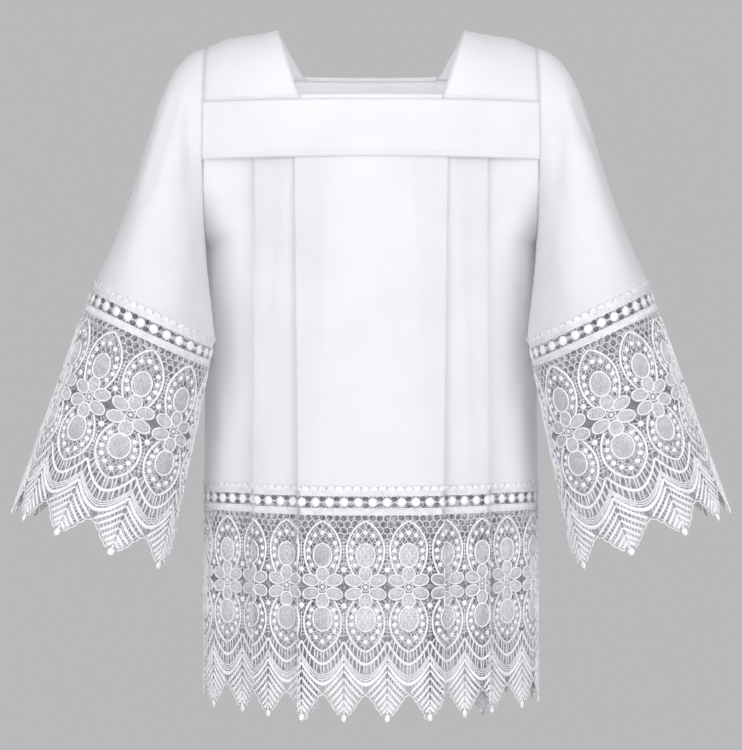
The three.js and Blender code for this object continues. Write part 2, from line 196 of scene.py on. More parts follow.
def chest_edge(z):
    fade = ease((CHEST_EDGE[0] - z) / (CHEST_EDGE[0] - CHEST_EDGE[1]))
    return np.where(z > CHEST_EDGE[0], armhole_depth(z), ARMHOLE_HALF_DEPTH * (1 - fade))


def span_angle(z):
    f = ease((z - ARMHOLE_BLEND[0]) / (ARMHOLE_BLEND[1] - ARMHOLE_BLEND[0]))
    return lerp(math.pi / 2, ARMHOLE_SPAN, f)


def torso(side, w, z):
    """Points of the front (side -1) or the back (side 1), w from -1 to 1 across it."""
    most = span_angle(z)
    middle = FRONT_MIDDLE(z) if side < 0 else BACK_MIDDLE(z)
    edge = chest_edge(z)
    rounded = (np.cos(w * most) - np.cos(most)) / (1 - np.cos(most))
    drawn_in = (armhole_depth(z) - edge) * np.abs(w) ** CHEST_KEENNESS
    x = BODY_WIDTH(z) * np.sin(w * most) / np.sin(most)
    return points(x, side * (edge + (middle - edge) * rounded + drawn_in), z)


def across(x, z):
    """w of the points whose x is given."""
    most = span_angle(z)
    return np.arcsin(np.clip(x * np.sin(most) / BODY_WIDTH(z), -1, 1)) / most


class ArcTable:
    """Lengths along the section of one side at each height, both ways."""

    Z_STEP = 3.0
    W_STEPS = 240

    def __init__(self, side):
        self.z = np.arange(LOWEST, -30.0, self.Z_STEP)
        w = np.linspace(0, 1, self.W_STEPS + 1)
        line = torso(side, w[None, :], self.z[:, None])
        steps = np.linalg.norm(np.diff(line, axis=1), axis=2)
        lengths = np.concatenate([np.zeros((len(self.z), 1)), np.cumsum(steps, axis=1)], axis=1)
        self.total = lengths[:, -1]
        self.share = lengths / self.total[:, None]
        self.inverse = np.array([np.interp(w, row, w) for row in self.share])

    def total_at(self, z):
        return np.interp(z, self.z, self.total)

    def read(self, table, z, f):
        i = np.clip((z - self.z[0]) / self.Z_STEP, 0, len(self.z) - 1.001)
        j = np.clip(f, 0, 1) * (self.W_STEPS - 0.001)
        i0, j0 = i.astype(int), j.astype(int)
        upper = lerp(table[i0, j0], table[i0, j0 + 1], j - j0)
        lower = lerp(table[i0 + 1, j0], table[i0 + 1, j0 + 1], j - j0)
        return lerp(upper, lower, i - i0)

    def w_at(self, s, z):
        return np.sign(s) * self.read(self.inverse, z, np.abs(s) / self.total_at(z))

    def length_at_x(self, x, z):
        return self.read(self.share, z, across(x, z)) * self.total_at(z)


ARC = {-1: ArcTable(-1), 1: ArcTable(1)}


def pleat_path(z):
    """One half of the pleated front at each height: (kind, from or centre, to or way, sunk)."""
    f = np.clip((YOKE_BOTTOM - z) / (YOKE_BOTTOM - HEM_SEAM), 0, 1)
    inner_x, outer_x, depth, r = (lerp(a, b, f) for a, b in zip(PLEAT_TOP, PLEAT_HEM))
    arc = ARC[-1]
    inner, outer = arc.length_at_x(inner_x, z), arc.length_at_x(outer_x, z)
    path, start, sunk = [], 0 * r, 0 * r
    for edge in (inner, outer):
        near, far, low = edge - r, edge - depth + r, sunk + 2 * r
        path += [("run", start, near, sunk, sunk), ("turn", near, 1, sunk, sunk),
                 ("run", near, far, low, low), ("turn", far, -1, low, low)]
        start, sunk = far, sunk + 4 * r
    path += [("run", start, outer, sunk, sunk), ("run", outer, arc.total_at(z), sunk, 0 * sunk)]
    return path, r


def pleat_labels():
    """Millimetres along the pleats at the lace seam: the same labels serve at each height."""
    path, r = pleat_path(np.array(HEM_SEAM))
    ends = [0.0]
    for kind, start, end, _, _ in path:
        ends.append(ends[-1] + (math.pi * float(r) if kind == "turn" else abs(float(end - start))))
    return np.array(ends)


LABELS = pleat_labels()
FRONT_HALF = LABELS[-1]


def skirt_front(label, z):
    """Points of the pleated front."""
    size = np.minimum(np.abs(label), FRONT_HALF)
    path, r = pleat_path(z)
    s, sunk = np.zeros_like(size), np.zeros_like(size)
    for i, (kind, a, b, sunk_a, sunk_b) in enumerate(path):
        here = (size >= LABELS[i]) & (size <= LABELS[i + 1])
        f = (size - LABELS[i]) / (LABELS[i + 1] - LABELS[i])
        if kind == "run":
            s_here, sunk_here = lerp(a, b, f), lerp(sunk_a, sunk_b, ease(f))
        else:
            s_here = a + b * r * np.sin(math.pi * f)
            sunk_here = sunk_a + r * (1 - np.cos(math.pi * f))
        s, sunk = np.where(here, s_here, s), np.where(here, sunk_here, sunk)
    lift = YOKE_LIFT * ease((z - YOKE_BOTTOM + YOKE_LIFT_FADE) / YOKE_LIFT_FADE)
    w = ARC[-1].w_at(np.sign(label) * s, z)
    ahead = torso(-1, w + W_STEP, z) - torso(-1, w - W_STEP, z)
    ahead /= np.linalg.norm(ahead, axis=-1, keepdims=True)
    inward = points(-ahead[..., 1], ahead[..., 0], 0)
    return torso(-1, w, z) + inward * (sunk + lift)[..., None]


def strap(p, q):
    """Points of the right shoulder piece: p from the neck out, q from back to front."""
    front = q > 0
    end_z = np.where(front, NECK_FRONT["z"], NECK_BACK["z"]) - NECK_BAND
    crest_x = lerp(NECK_CREST_X, BODY_HALF, p)
    crest_z = np.interp(crest_x, CREST[:, 0], CREST[:, 1])
    crest_y = lerp(CREST_SETBACK, 0, p)
    end_x = lerp(np.where(front, NECK_FRONT["half"], NECK_BACK["half"]), BODY_HALF, p)
    w = across(end_x, end_z)
    end_y = np.where(front, torso(-1, w, end_z)[..., 1], torso(1, w, end_z)[..., 1])
    height = crest_z - ARMHOLE_Z
    most = np.arccos((end_z - ARMHOLE_Z) / height)
    z = ARMHOLE_Z + height * np.cos(np.abs(q) * most)
    y = crest_y + (end_y - crest_y) * np.sin(np.abs(q) * most) / np.sin(most)
    return points(end_x + (crest_x - end_x) * (z - end_z) / (crest_z - end_z), y, z)


def loop_point(loop, angle):
    """A point of a slanted loop round the arm, CUFF or EDGE."""
    x1, z1, x0, z0, y, half = loop
    c = np.cos(angle)
    return points((x1 + x0) / 2 + (x1 - x0) / 2 * c, y + half * np.sin(angle),
                  (z1 + z0) / 2 + (z1 - z0) / 2 * c)


def clear_of_body(p, margin):
    """Moves points of a sleeve out to just clear of the body."""
    z = p[..., 2]
    half = BODY_WIDTH(z) + margin
    depth = np.where(p[..., 1] < 0, FRONT_MIDDLE(z), BACK_MIDDLE(z)) + margin
    reach = np.hypot(p[..., 0] / half, p[..., 1] / depth)
    inside = (reach < 1) & (z <= ARMHOLE_Z - ARMHOLE_HALF_HEIGHT)
    scale = np.where(inside, 1 / np.maximum(reach, 1e-6), 1.0)
    return p * points(scale, scale, 1.0)


def sleeve(angle, t):
    """Points of the right sleeve: angle 0 is its outer edge, t runs down to the lace."""
    start = points(SLEEVE_START, ARMHOLE_HALF_DEPTH * np.sin(angle),
                   ARMHOLE_Z + ARMHOLE_HALF_HEIGHT * np.cos(angle))
    p = lerp(start, loop_point(CUFF, angle), t[..., None])
    bulge = t * np.maximum(0, 1 - t) ** 3 * ((1 + np.cos(angle)) / 2) ** 1.5
    p = p + points(CAP_BULGE[0] * bulge, 0, CAP_BULGE[1] * bulge)
    margin = sum(clear * np.clip(t * speed, 0, 1) for clear, speed in SLEEVE_MARGINS)
    return clear_of_body(p, margin)


def sleeve_lace(u, v):
    """Points of the right sleeve's lace, u round it and v down it."""
    angle = 2 * math.pi * u / (SLEEVE_REPEATS * REPEAT)
    f = (v + SEAM_GAP) / VALLEY
    angle = angle - EDGE_TWIST * np.sin(angle) * f
    p = lerp(loop_point(CUFF, angle), loop_point(EDGE, angle), f[..., None])
    return clear_of_body(p, SLEEVE_CLEARANCE)


# The soft waves of the lower cloth: their height, where above the lace seam they start and how
# slowly they grow, then the lengths in x and the lean in z of the two waves that they are made of.
HEM_WAVE = {"height": 1.1, "start": 120.0, "grow": 300.0, "long": 21.0, "short": 12.5, "lean": 90.0}
# Creases of the body fade towards its sides, and what lies a little beyond them is still body
EDGE_FADE = 25.0
BODY_MARGIN = 4.0
# How far a crease runs on past its ends, and over how much of its length it fades
CREASE_PAST = 0.25
CREASE_FADE = 0.45
# How fast a crease of a sleeve appears where the cloth turns to its side
FACING = 1.5
# A small step of u and v, to find the normal of a surface
DELTA = 0.05


def creased(p, normal):
    """How each point moves for the creases and the soft waves of the cloth."""
    x, y, z = p[..., 0], p[..., 1], p[..., 2]
    body = np.abs(x) < BODY_HALF + BODY_MARGIN
    inside = ease((BODY_WIDTH(z) - np.abs(x)) / EDGE_FADE)
    out = np.zeros_like(x)
    for side, x0, z0, x1, z1, half_width, height in CREASES:
        on_body = (side * y > 0) * inside
        facing = np.where(body, on_body, np.clip(side * normal[..., 1] * FACING, 0, 1))
        dx, dz = x1 - x0, z1 - z0
        length = math.hypot(dx, dz)
        along = ((x - x0) * dx + (z - z0) * dz) / length**2
        off = ((x - x0) * dz - (z - z0) * dx) / length
        ends = ease((along + CREASE_PAST) / CREASE_FADE)
        ends = ends * ease((1 + CREASE_PAST - along) / CREASE_FADE)
        out += height * facing * ends * np.exp(-((off / half_width) ** 2))
    size = HEM_WAVE
    wave = np.sin(x / size["long"] + 0.6) + 0.7 * np.sin(x / size["short"] + z / size["lean"])
    grown = ease((HEM_SEAM + size["start"] - z) / size["grow"])
    out += size["height"] * grown * body * inside * wave
    straight = points(0, np.sign(y), 0)
    return np.where(body[..., None], straight, normal) * out[..., None]


def settle(surface, u, v, height):
    """Points of a surface moved out by height along its normal, with its creases."""
    p = surface(u, v)
    along_u = surface(u + DELTA, v) - surface(u - DELTA, v)
    along_v = surface(u, v + DELTA) - surface(u, v - DELTA)
    normal = np.cross(along_v, along_u)
    normal /= np.maximum(np.linalg.norm(normal, axis=-1, keepdims=True), 1e-9)
    return p + normal * np.asarray(height)[..., None] + creased(p, normal)


def right_and_left(stem, surface):
    """Names and surfaces of a piece on the right and of its mirror image on the left."""
    return (stem + "_right", surface), (stem + "_left", mirrored(surface))


def mirrored(surface):
    """The same surface on the left, turned so that its outside stays out."""
    flip = np.array([-1.0, 1.0, 1.0])
    return lambda u, v: surface(-u, v) * flip


def linked(name, data):
    obj = bpy.data.objects.new(name, data)
    bpy.context.scene.collection.objects.link(obj)
    return obj


def new_object(name, vertices, faces):
    """A smooth mesh from vertices in millimetres, with its faces turned to the outside."""
    mesh = bpy.data.meshes.new(name)
    mesh.from_pydata((np.asarray(vertices) * METRES).tolist(), [], faces)
    mesh.validate()
    bm = bmesh.new()
    bm.from_mesh(mesh)
    bmesh.ops.recalc_face_normals(bm, faces=bm.faces)
    bm.to_mesh(mesh)
    bm.free()
    mesh.polygons.foreach_set("use_smooth", [True] * len(mesh.polygons))
    return linked(name, mesh)


def cloth_object(name, surface, us, vs, thickness, closed=False):
    """A thin closed shell over a grid of u and v; closed joins its last column to its first."""
    u, v = np.meshgrid(us, vs)
    sheets = [settle(surface, u, v, h).reshape(-1, 3) for h in (thickness / 2, -thickness / 2)]
    at = np.arange(2 * u.size).reshape(2, *u.shape)
    if closed:
        at = np.concatenate([at, at[:, :, :1]], axis=2)
    faces = [quads(at[:, :-1, :-1], at[:, 1:, :-1], at[:, 1:, 1:], at[:, :-1, 1:])]
    upper, lower = at
    for row in (0, -1):
        faces.append(quads(upper[row, :-1], upper[row, 1:], lower[row, 1:], lower[row, :-1]))
    for column in () if closed else (0, -1):
        faces.append(quads(upper[:-1, column], upper[1:, column],
                           lower[1:, column], lower[:-1, column]))
    return new_object(name, np.concatenate(sheets), np.concatenate(faces).tolist())


def quads(*corners):
    return np.stack(corners, axis=-1).reshape(-1, 4)


def ellipse(centre, radii, sides, turn=0.0, start=0.0):
    """Points round an ellipse; start is where the first one is, in steps."""
    a = 2 * math.pi * (np.arange(sides) + start) / sides
    x, y = radii[0] * np.cos(a), radii[1] * np.sin(a)
    return np.stack([centre[0] + x * math.cos(turn) - y * math.sin(turn),
                     centre[1] + x * math.sin(turn) + y * math.cos(turn)], axis=1)


class Relief:
    """Lace or sewing in the flat: threads and pads as (u, v, height), in millimetres."""

    # Sections of a thread: the share of its width to one side, and of its height
    CORD = ((-0.5, -0.3), (-0.34, 0.6), (0, 1), (0.34, 0.6), (0.5, -0.3))
    TAPE = ((-0.5, -0.3), (-0.4, 0.9), (0.4, 0.9), (0.5, -0.3))
    THREAD = ((-0.5, -0.2), (0, 1), (0.5, -0.2))
    # The rings of a pad from its rim to its top: the share of its radii, and of its height
    DOME = ((1.0, -0.3), (0.92, 0.45), (0.55, 1.0))

    def __init__(self):
        self.vertices = []
        self.faces = []

    def skin(self, line, aside, height, shape, closed):
        """The faces of a thread along a line; aside is the step across it, as wide as it is."""
        base, size, count = len(self.vertices), len(shape), len(line)
        for place, step in zip(line, aside):
            for offset, lift in shape:
                u, v = place + step * offset
                self.vertices.append((u, v, lift * height))
        for i in range(count if closed else count - 1):
            a, b = base + i * size, base + (i + 1) % count * size
            for k in range(size):
                k2 = (k + 1) % size
                self.faces.append((a + k, b + k, b + k2, a + k2))
        if not closed:
            last = base + (count - 1) * size
            self.faces.append(tuple(range(base, base + size)))
            self.faces.append(tuple(range(last + size - 1, last - 1, -1)))

    def stroke(self, line, width, height, shape=CORD, closed=False):
        """A thread of the given width along a line; its width can vary along it."""
        line = np.asarray(line, float)
        ahead = np.roll(line, -1, axis=0) - np.roll(line, 1, axis=0)
        if not closed:
            ahead[0], ahead[-1] = line[1] - line[0], line[-1] - line[-2]
        ahead /= np.maximum(np.linalg.norm(ahead, axis=1, keepdims=True), 1e-9)
        aside = np.stack([-ahead[:, 1], ahead[:, 0]], axis=1)
        width = np.broadcast_to(width, len(line))[:, None]
        self.skin(line, aside * width, height, shape, closed)

    def tie(self, a, b, width, height):
        """A straight fine thread between two points."""
        self.stroke([a, b], width, height, self.THREAD)

    def spokes(self, centre, near, reaches, turn, width, height):
        """Fine threads that stand round a centre, from near it out to each of reaches."""
        for k, reach in enumerate(reaches):
            a = 2 * math.pi * k / len(reaches) + turn
            way = np.array([math.cos(a), math.sin(a)])
            self.tie(way * near + centre, way * reach + centre, width, height)

    def pad(self, centre, radii, height, sides):
        """A satin-stitched dot or lozenge with a domed top."""
        base = len(self.vertices)
        for share, lift in self.DOME:
            rim = ellipse(centre, np.multiply(radii, share), sides, start=0.5)
            self.vertices += [(u, v, lift * height) for u, v in rim]
        for a in (base, base + sides):
            for i in range(sides):
                j = (i + 1) % sides
                self.faces.append((a + i, a + j, a + sides + j, a + sides + i))
        self.faces.append(tuple(range(base + 2 * sides, base + 3 * sides)))
        self.faces.append(tuple(range(base + sides - 1, base - 1, -1)))

    def hatch(self, outline, angle, pitch, width, height):
        """Fine threads across a convex outline."""
        way = np.array([math.cos(angle), math.sin(angle)])
        aside = np.array([-way[1], way[0]])
        off, along = outline @ aside, outline @ way
        next_off, next_along = np.roll(off, -1), np.roll(along, -1)
        for level in np.arange(off.min() + pitch / 2, off.max(), pitch):
            cut = (off - level) * (next_off - level) < 0
            if cut.sum() < 2:
                continue
            f = (level - off[cut]) / (next_off[cut] - off[cut])
            ends = lerp(along[cut], next_along[cut], f)
            self.tie(*(way * t + aside * level for t in (ends.min(), ends.max())), width, height)

    def arrays(self):
        return np.array(self.vertices, float), self.faces


def add_filled(ground, raised, outline, motif, angle=0.0):
    """A motif with a corded outline and a fine woven filling."""
    height = motif["height"]
    for lean, lower in ((angle, 0.35), (angle + math.pi / 2, 0.3)):
        ground.hatch(outline, lean, motif["pitch"], motif["thread"], height * lower)
    raised.stroke(outline, motif["cord"], height, closed=True)


def curve(knots, count):
    """A smooth line through knots of (u, v), with count points."""
    knots = np.asarray(knots, float)
    padded = np.vstack([2 * knots[0] - knots[1], knots, 2 * knots[-1] - knots[-2]])
    at = np.linspace(0, len(knots) - 1 - 1e-9, count)
    i, f = at.astype(int), (at % 1)[:, None]
    p0, p1, p2, p3 = (padded[i + k] for k in range(4))
    return 0.5 * (2 * p1 + (p2 - p0) * f + (2 * p0 - 5 * p1 + 4 * p2 - p3) * f**2
                  + (3 * p1 - p0 - 3 * p2 + p3) * f**3)


HALF = REPEAT / 2
THIRD = REPEAT / 3

# The heading: a scalloped edge, two tapes and an insertion of hexagonal dots between them.
SCALLOP = {"arcs": 5, "top": -1.2, "foot": 2.6, "cord": 1.1, "height": 1.6, "fill": 0.8}
TAPES = ((3.4, 12.1), (27.0, 36.0))
TAPE_RIBS = 6
TAPE_HEIGHTS = (0.75, 0.5)
TAPE_EDGE_HEIGHT = 1.0
# A short last step at both ends keeps the shading of the tapes even across the joints.
TAPE_ENDS = (0.3, 0.4)
# The upright stitches on the lower tape
STITCHES = {"pitch": 1.8, "inset": 1.0, "width": 0.9, "height": 0.95}
INSERTION = {"middle": 19.6, "dot": (6.5, 6.3), "height": 1.3, "foot": 4.6, "waist": 1.2}
# The ties of an insertion dot: u at its edge, u at the tape or the next dot, width, height
TAPE_TIES = ((3.4, 6.0, 1.3, 0.7), (1.3, 1.6, 1.1, 0.6))
DOT_TIE = (5.0, THIRD / 2, 1.3, 0.7)
# The six-sided net: cells across and down, v of its first row, half heights of a cell, thread
NET = {"across": 6, "rows": 6, "start": 39.4, "tall": 5.3, "short": 2.6, "thread": (1.6, 0.8)}
NET_SWAY = 0.6

# Outlines of one half of the upper and the lower oval, from the tip to the flower.
UPPER_OGIVE = ((0, 43.2), (8.5, 48.1), (17.5, 58.6), (22.6, 70.6), (23.8, 81.6), (22.2, 93.6),
               (18.6, 104.4), (14.2, 111.8))
LOWER_OGIVE = ((14.2, 144.2), (19, 151.2), (23, 161.6), (24.3, 172.4), (21.8, 185.8),
               (15.5, 197.0), (7.5, 204.8), (0, 208.8))
UPPER_DOTS = ((0, 58.1), (9.6, 61.6), (16, 71.2), (18.2, 80.9), (18.1, 90.2), (13.6, 99.6))
LOWER_DOTS = ((0, 196.0), (8.7, 190.9), (15.2, 183.1), (18.1, 174.2), (17.2, 165.1), (14.2, 156.3))
OVALS = (((0, 86.9), (11.9, 15.2)), ((0, 167.3), (12.4, 15.6)))
OVAL_CORD = (2.9, 1.5)
OVAL_FILLING = {"cord": 2.3, "height": 1.3, "pitch": 1.75, "thread": 1.0}
OVAL_DOT = {"radii": (3.2, 3.2), "height": 1.2, "sides": 8}
# The fine threads from a dot: how far each leans out of the oval and along it, and its reach
BRIDES = ((1, 0, 6.6), (-1, 0, 6.4), (1, 0.9, 6.8), (1, -0.9, 6.8),
          (-1, 1, 6.2), (-1, -1, 6.2), (0, 1, 5.4), (0, -1, 5.4))
BRIDE = {"start": 2.6, "width": 1.05, "height": 0.5}
# The open net inside the pointed ovals: the directions of its threads, their pitch and width.
OVAL_NET = {"leans": (0.96, 2.18), "pitch": 6.2, "thread": 1.1, "height": 0.45}
PETALS = (
    ((0, 110.9), (8.0, 9.2), 0.0),
    ((0, 144.1), (8.0, 9.2), 0.0),
    ((-15.2, 118.4), (10.6, 7.2), 0.22),
    ((15.2, 118.4), (10.6, 7.2), -0.22),
    ((-15.2, 135.3), (10.6, 7.2), -0.22),
    ((15.2, 135.3), (10.6, 7.2), 0.22),
)
PETAL_FILLING = {"cord": 2.1, "height": 1.4, "pitch": 1.7, "thread": 0.95}
FLOWER = (0.0, 126.9)
FLOWER_RING = {"radius": 5.3, "cord": 1.5, "height": 1.1}
FLOWER_EYE = {"radii": (2.3, 2.3), "height": 1.3, "sides": 8}
FLOWER_SPOKES = {"near": 1.8, "reaches": (5.0,) * 8, "turn": 0.0, "width": 0.9, "height": 0.8}
STARS = ((HALF, 104.8), (HALF, 150.8))
STAR_DOT = {"radii": (3.9, 3.9), "height": 1.4, "sides": 8}
STAR_TIES = {"near": 3.2, "reaches": (9.6, 8.6) * 4, "turn": math.pi / 8, "width": 1.3,
             "height": 0.7}
# Ladders of thread between two ovals: v of the first rung, pitch, rungs, growth of the last ones
LADDERS = ((70.5, 4.3, 7, 0.0), (160.5, 4.6, 7, 1.2))
LADDER = {"half": 4.6, "even": 3, "lean": 1.3, "rung": (1.25, 0.6), "rail": (1.2, 0.7), "past": 3}

# The festoons below the ovals: v at the peak (u = half a repeat), at the middle, width, height.
FESTOONS = (
    (195.7, 224.6, 2.8, 1.4),
    (211.8, 239.0, 1.5, 0.8),
    (214.6, 241.8, 1.5, 0.8),
    (217.4, 244.6, 1.5, 0.8),
    (223.0, 250.0, 3.6, 1.5),
)
FESTOON_ROUNDNESS = 1.75
FESTOON_SWELL = 0.5
# The bars that hang from the lower oval to the first festoon, and from that to the second: their
# number, how far the outer ones stand inside the repeat, how they spread and lean, the half width
# of the oval, how far above the festoon the others start, and the least length of one.
BARS = {"count": 12, "inset": 2.2, "spread": (0.8, 0.94, 1.04), "lean": 0.9, "turn": 2.1,
        "oval": 21, "above": 3, "least": 2, "upper": (2.0, 0.7), "lower": (2.1, 0.7)}
# The short ties between the last two festoons
SHORT_TIES = {"count": 9, "inset": 2, "thread": (0.8, 0.6)}

# The ribs of a fan: v at its axis, how far its end is from the axis, v of the end.
FAN_RIBS = (
    (233.0, 25.4, 261.2),
    (242.5, 20.8, 266.0),
    (252.0, 16.8, 271.8),
    (261.5, 13.0, 277.4),
    (270.5, 9.4, 282.4),
    (279.0, 5.8, 286.4),
)
FAN_RIB = {"cord": 3.3, "height": 1.4, "bend": 0.45, "gap": 0.2}
FAN_TAPER = np.array([0.6, 0.85, 1, 1.05, 1.1, 1.1, 1.05, 1.0, 0.8])
# The ties between two ribs, and from the first rib up to the festoon: places along the rib
RIB_TIES = np.linspace(1.0, 7.6, 7)
TOP_TIES = np.linspace(0.8, 7.4, 8)
TOP_TIE_SLANT = 1.6
FAN_TIE = (1.0, 0.55)
FAN_KNOB = {"rib": 283.0, "top": 289.0, "v": 292.6, "radii": (3.6, 5.2), "height": 1.4,
            "stem": (1.8, 2.6, 3.0)}
# The lower edge, from the valley at the middle of the repeat to the axis of the fan.
EDGE_LINE = ((0, 261.0), (5.6, 264.8), (11.6, 273.4), (18.4, 283.8), (23.0, 288.6), (HALF, 290.0))
EDGE_SCALLOP = {"deep": 1.7, "cord": 1.9, "height": 1.0}


def festoon(peak, low, count=25):
    """The line of a festoon over one repeat: it hangs between two pointed peaks."""
    u = np.linspace(-HALF, HALF, count)
    drop = 1 - np.abs(u / HALF) ** FESTOON_ROUNDNESS
    return np.stack([u, peak + (low - peak) * drop], axis=1)


def both(line):
    """A half outline and its mirror image."""
    line = np.asarray(line, float)
    return line, line * (-1, 1)


def add_heading(ground, raised):
    """The scalloped edge, the two tapes, and the insertion of dots between them."""
    size = SCALLOP
    pitch = REPEAT / size["arcs"]
    deep = size["foot"] - size["top"]
    a = np.linspace(0, math.pi, 7)
    for k in range(size["arcs"]):
        middle = -HALF + (k + 0.5) * pitch
        line = np.stack([middle - pitch / 2 * np.cos(a), size["foot"] - deep * np.sin(a)], axis=1)
        raised.stroke(line, size["cord"], size["height"], Relief.THREAD)
        ground.pad((middle, size["foot"]), (pitch / 2, deep), size["fill"], sides=14)
    near, far = (HALF + past for past in TAPE_ENDS)
    us = np.concatenate([[-far], np.linspace(-near, near, 9), [far]])
    for (top, foot), low in zip(TAPES, TAPE_HEIGHTS):
        rib = (foot - top) / TAPE_RIBS
        for k in range(TAPE_RIBS):
            line = np.stack([us, np.full_like(us, top + rib * (k + 0.5))], axis=1)
            height = TAPE_EDGE_HEIGHT if k in (0, TAPE_RIBS - 1) else low
            ground.stroke(line, rib * 1.05, height, Relief.TAPE)
    top, foot = TAPES[1][0] + STITCHES["inset"], TAPES[1][1] - STITCHES["inset"]
    for u in np.arange(-HALF + STITCHES["pitch"] / 2, HALF, STITCHES["pitch"]):
        raised.tie((u, top), (u, foot), STITCHES["width"], STITCHES["height"])
    middle, waist = INSERTION["middle"], INSERTION["waist"]
    upper, lower = middle - INSERTION["foot"], middle + INSERTION["foot"]
    for u in (-THIRD / 2, THIRD / 2, 3 * THIRD / 2):
        raised.pad((u, middle), INSERTION["dot"], INSERTION["height"], sides=6)
        for side in (-1, 1):
            near, far, *thread = DOT_TIE
            for v in (middle - waist, middle + waist):
                ground.tie((u + side * near, v), (u + side * far, middle), *thread)
            for near, far, *thread in TAPE_TIES:
                for foot, tape in ((upper, TAPES[0][1]), (lower, TAPES[1][0])):
                    ground.tie((u + side * near, foot), (u + side * far, tape), *thread)


def from_middle(u):
    """How far u is from the middle of the nearest repeat."""
    return np.abs((u + HALF) % REPEAT - HALF)


def ogive_edge(v):
    """Half the width of the upper oval's outline at v."""
    knots = np.array(UPPER_OGIVE)
    return np.interp(v, knots[:, 1], knots[:, 0], left=-9.0)


def uneven(u, v):
    """Moves a knot of the net a little, alike in each repeat."""
    turn = 2 * math.pi * u / REPEAT
    return (u + NET_SWAY * math.sin(5 * turn + 0.7 * v),
            v + NET_SWAY * math.sin(7 * turn - 1.3 * v))


def add_net(ground):
    """Six-sided net between the second tape and the ovals."""
    half, tall, short = REPEAT / NET["across"] / 2, NET["tall"], NET["short"]
    for row in range(NET["rows"]):
        v = NET["start"] + row * (tall + short)
        for k in range(NET["across"]):
            u = -HALF + (2 * k + row % 2) * half
            top, left = (u, v - tall), (u - half, v - short)
            right, low = (u + half, v - short), (u + half, v + short)
            for a, b in ((left, top), (top, right), (right, low)):
                if from_middle((a[0] + b[0]) / 2) > ogive_edge((a[1] + b[1]) / 2):
                    ground.tie(uneven(*a), uneven(*b), *NET["thread"])


def add_ovals(ground, raised):
    """The two pointed ovals of a repeat, each with a ring of dots round an inner oval."""
    net = OVAL_NET
    for outline, dots, oval in ((UPPER_OGIVE, UPPER_DOTS, OVALS[0]),
                                (LOWER_OGIVE, LOWER_DOTS, OVALS[1])):
        line = curve(outline, 20)
        for half in both(line):
            raised.stroke(half, *OVAL_CORD)
        whole = np.vstack([line, (line * (-1, 1))[::-1]])
        for lean in net["leans"]:
            ground.hatch(whole, lean, net["pitch"], net["thread"], net["height"])
        add_filled(ground, raised, ellipse(*oval, 26), OVAL_FILLING)
        right, left = both(dots)
        for dot in (*right, *left[1:]):
            raised.pad(dot, **OVAL_DOT)
            add_brides(ground, dot, np.array(oval[0]))


def add_brides(ground, dot, centre):
    """Fine threads from a dot to the cord outside it, to the inner oval and to both sides."""
    out = dot - centre
    out /= np.linalg.norm(out)
    aside = np.array([-out[1], out[0]])
    for outwards, along, reach in BRIDES:
        way = out * outwards + aside * along
        way /= np.linalg.norm(way)
        ground.tie(dot + way * BRIDE["start"], dot + way * reach, BRIDE["width"], BRIDE["height"])


def add_flower(ground, raised):
    """Six filled petals round a ring with a dot and spokes in it."""
    for centre, radii, turn in PETALS:
        add_filled(ground, raised, ellipse(centre, radii, 22, turn), PETAL_FILLING, turn)
    radius, cord, height = FLOWER_RING.values()
    raised.stroke(ellipse(FLOWER, (radius, radius), 16), cord, height, closed=True)
    raised.pad(FLOWER, **FLOWER_EYE)
    raised.spokes(FLOWER, **FLOWER_SPOKES)


def add_stars(ground, raised):
    """The dots between the flowers, with their ties, and the ladder between the ovals."""
    for star in STARS:
        raised.pad(star, **STAR_DOT)
        ground.spokes(star, **STAR_TIES)
    for first, pitch, count, growth in LADDERS:
        for k in range(count):
            v = first + pitch * k
            wide = LADDER["half"] + growth * max(0, k - LADDER["even"])
            lean = LADDER["lean"] if k % 2 else -LADDER["lean"]
            line = [(HALF - wide, v - lean), (HALF, v), (HALF + wide, v + lean)]
            ground.stroke(line, *LADDER["rung"], Relief.THREAD)
        last, past = first + pitch * (count - 1), LADDER["past"]
        rail = [(HALF, first - past), (HALF, (first + last) / 2), (HALF, last + past)]
        ground.stroke(rail, *LADDER["rail"], Relief.THREAD)


def at_u(line, u):
    """v of a line that runs across the repeat."""
    return np.interp(u, line[:, 0], line[:, 1])


def add_festoons(ground, raised):
    """The hanging bands under the lower oval, with ladders of short threads between them."""
    lines = [festoon(peak, low) for peak, low, _, _ in FESTOONS]
    for line, (_, _, width, height) in zip(lines, FESTOONS):
        swell = 1 + FESTOON_SWELL * (1 - np.abs(line[:, 0] / HALF)) if width > 2 else 1.0
        raised.stroke(line, width * swell, height)
    right, left = both(curve(LOWER_OGIVE, 20)[8:])
    oval = np.vstack([left, right[::-1]])
    at_top, at_first, at_second = BARS["spread"]
    ends = HALF - BARS["inset"]
    for u in np.linspace(-ends, ends, BARS["count"]):
        first, second = at_u(lines[0], u), at_u(lines[1], u)
        top = at_u(oval, u) if abs(u) < BARS["oval"] else FESTOONS[0][0] - BARS["above"]
        lean = BARS["lean"] * math.sin(u * BARS["turn"])
        if first - top > BARS["least"]:
            ground.tie((u * at_top, top), (u + lean, first), *BARS["upper"])
        ground.tie((u * at_first, first), (u * at_second + lean, second), *BARS["lower"])
    ends = HALF - SHORT_TIES["inset"]
    for u in np.linspace(-ends, ends, SHORT_TIES["count"]):
        ground.tie((u, at_u(lines[3], u)), (u, at_u(lines[4], u)), *SHORT_TIES["thread"])


def edge_at(u):
    """The lower edge: a valley at the middle of each repeat and a point between two repeats."""
    knots = np.array(EDGE_LINE)
    return np.interp(from_middle(u), knots[:, 0], knots[:, 1])


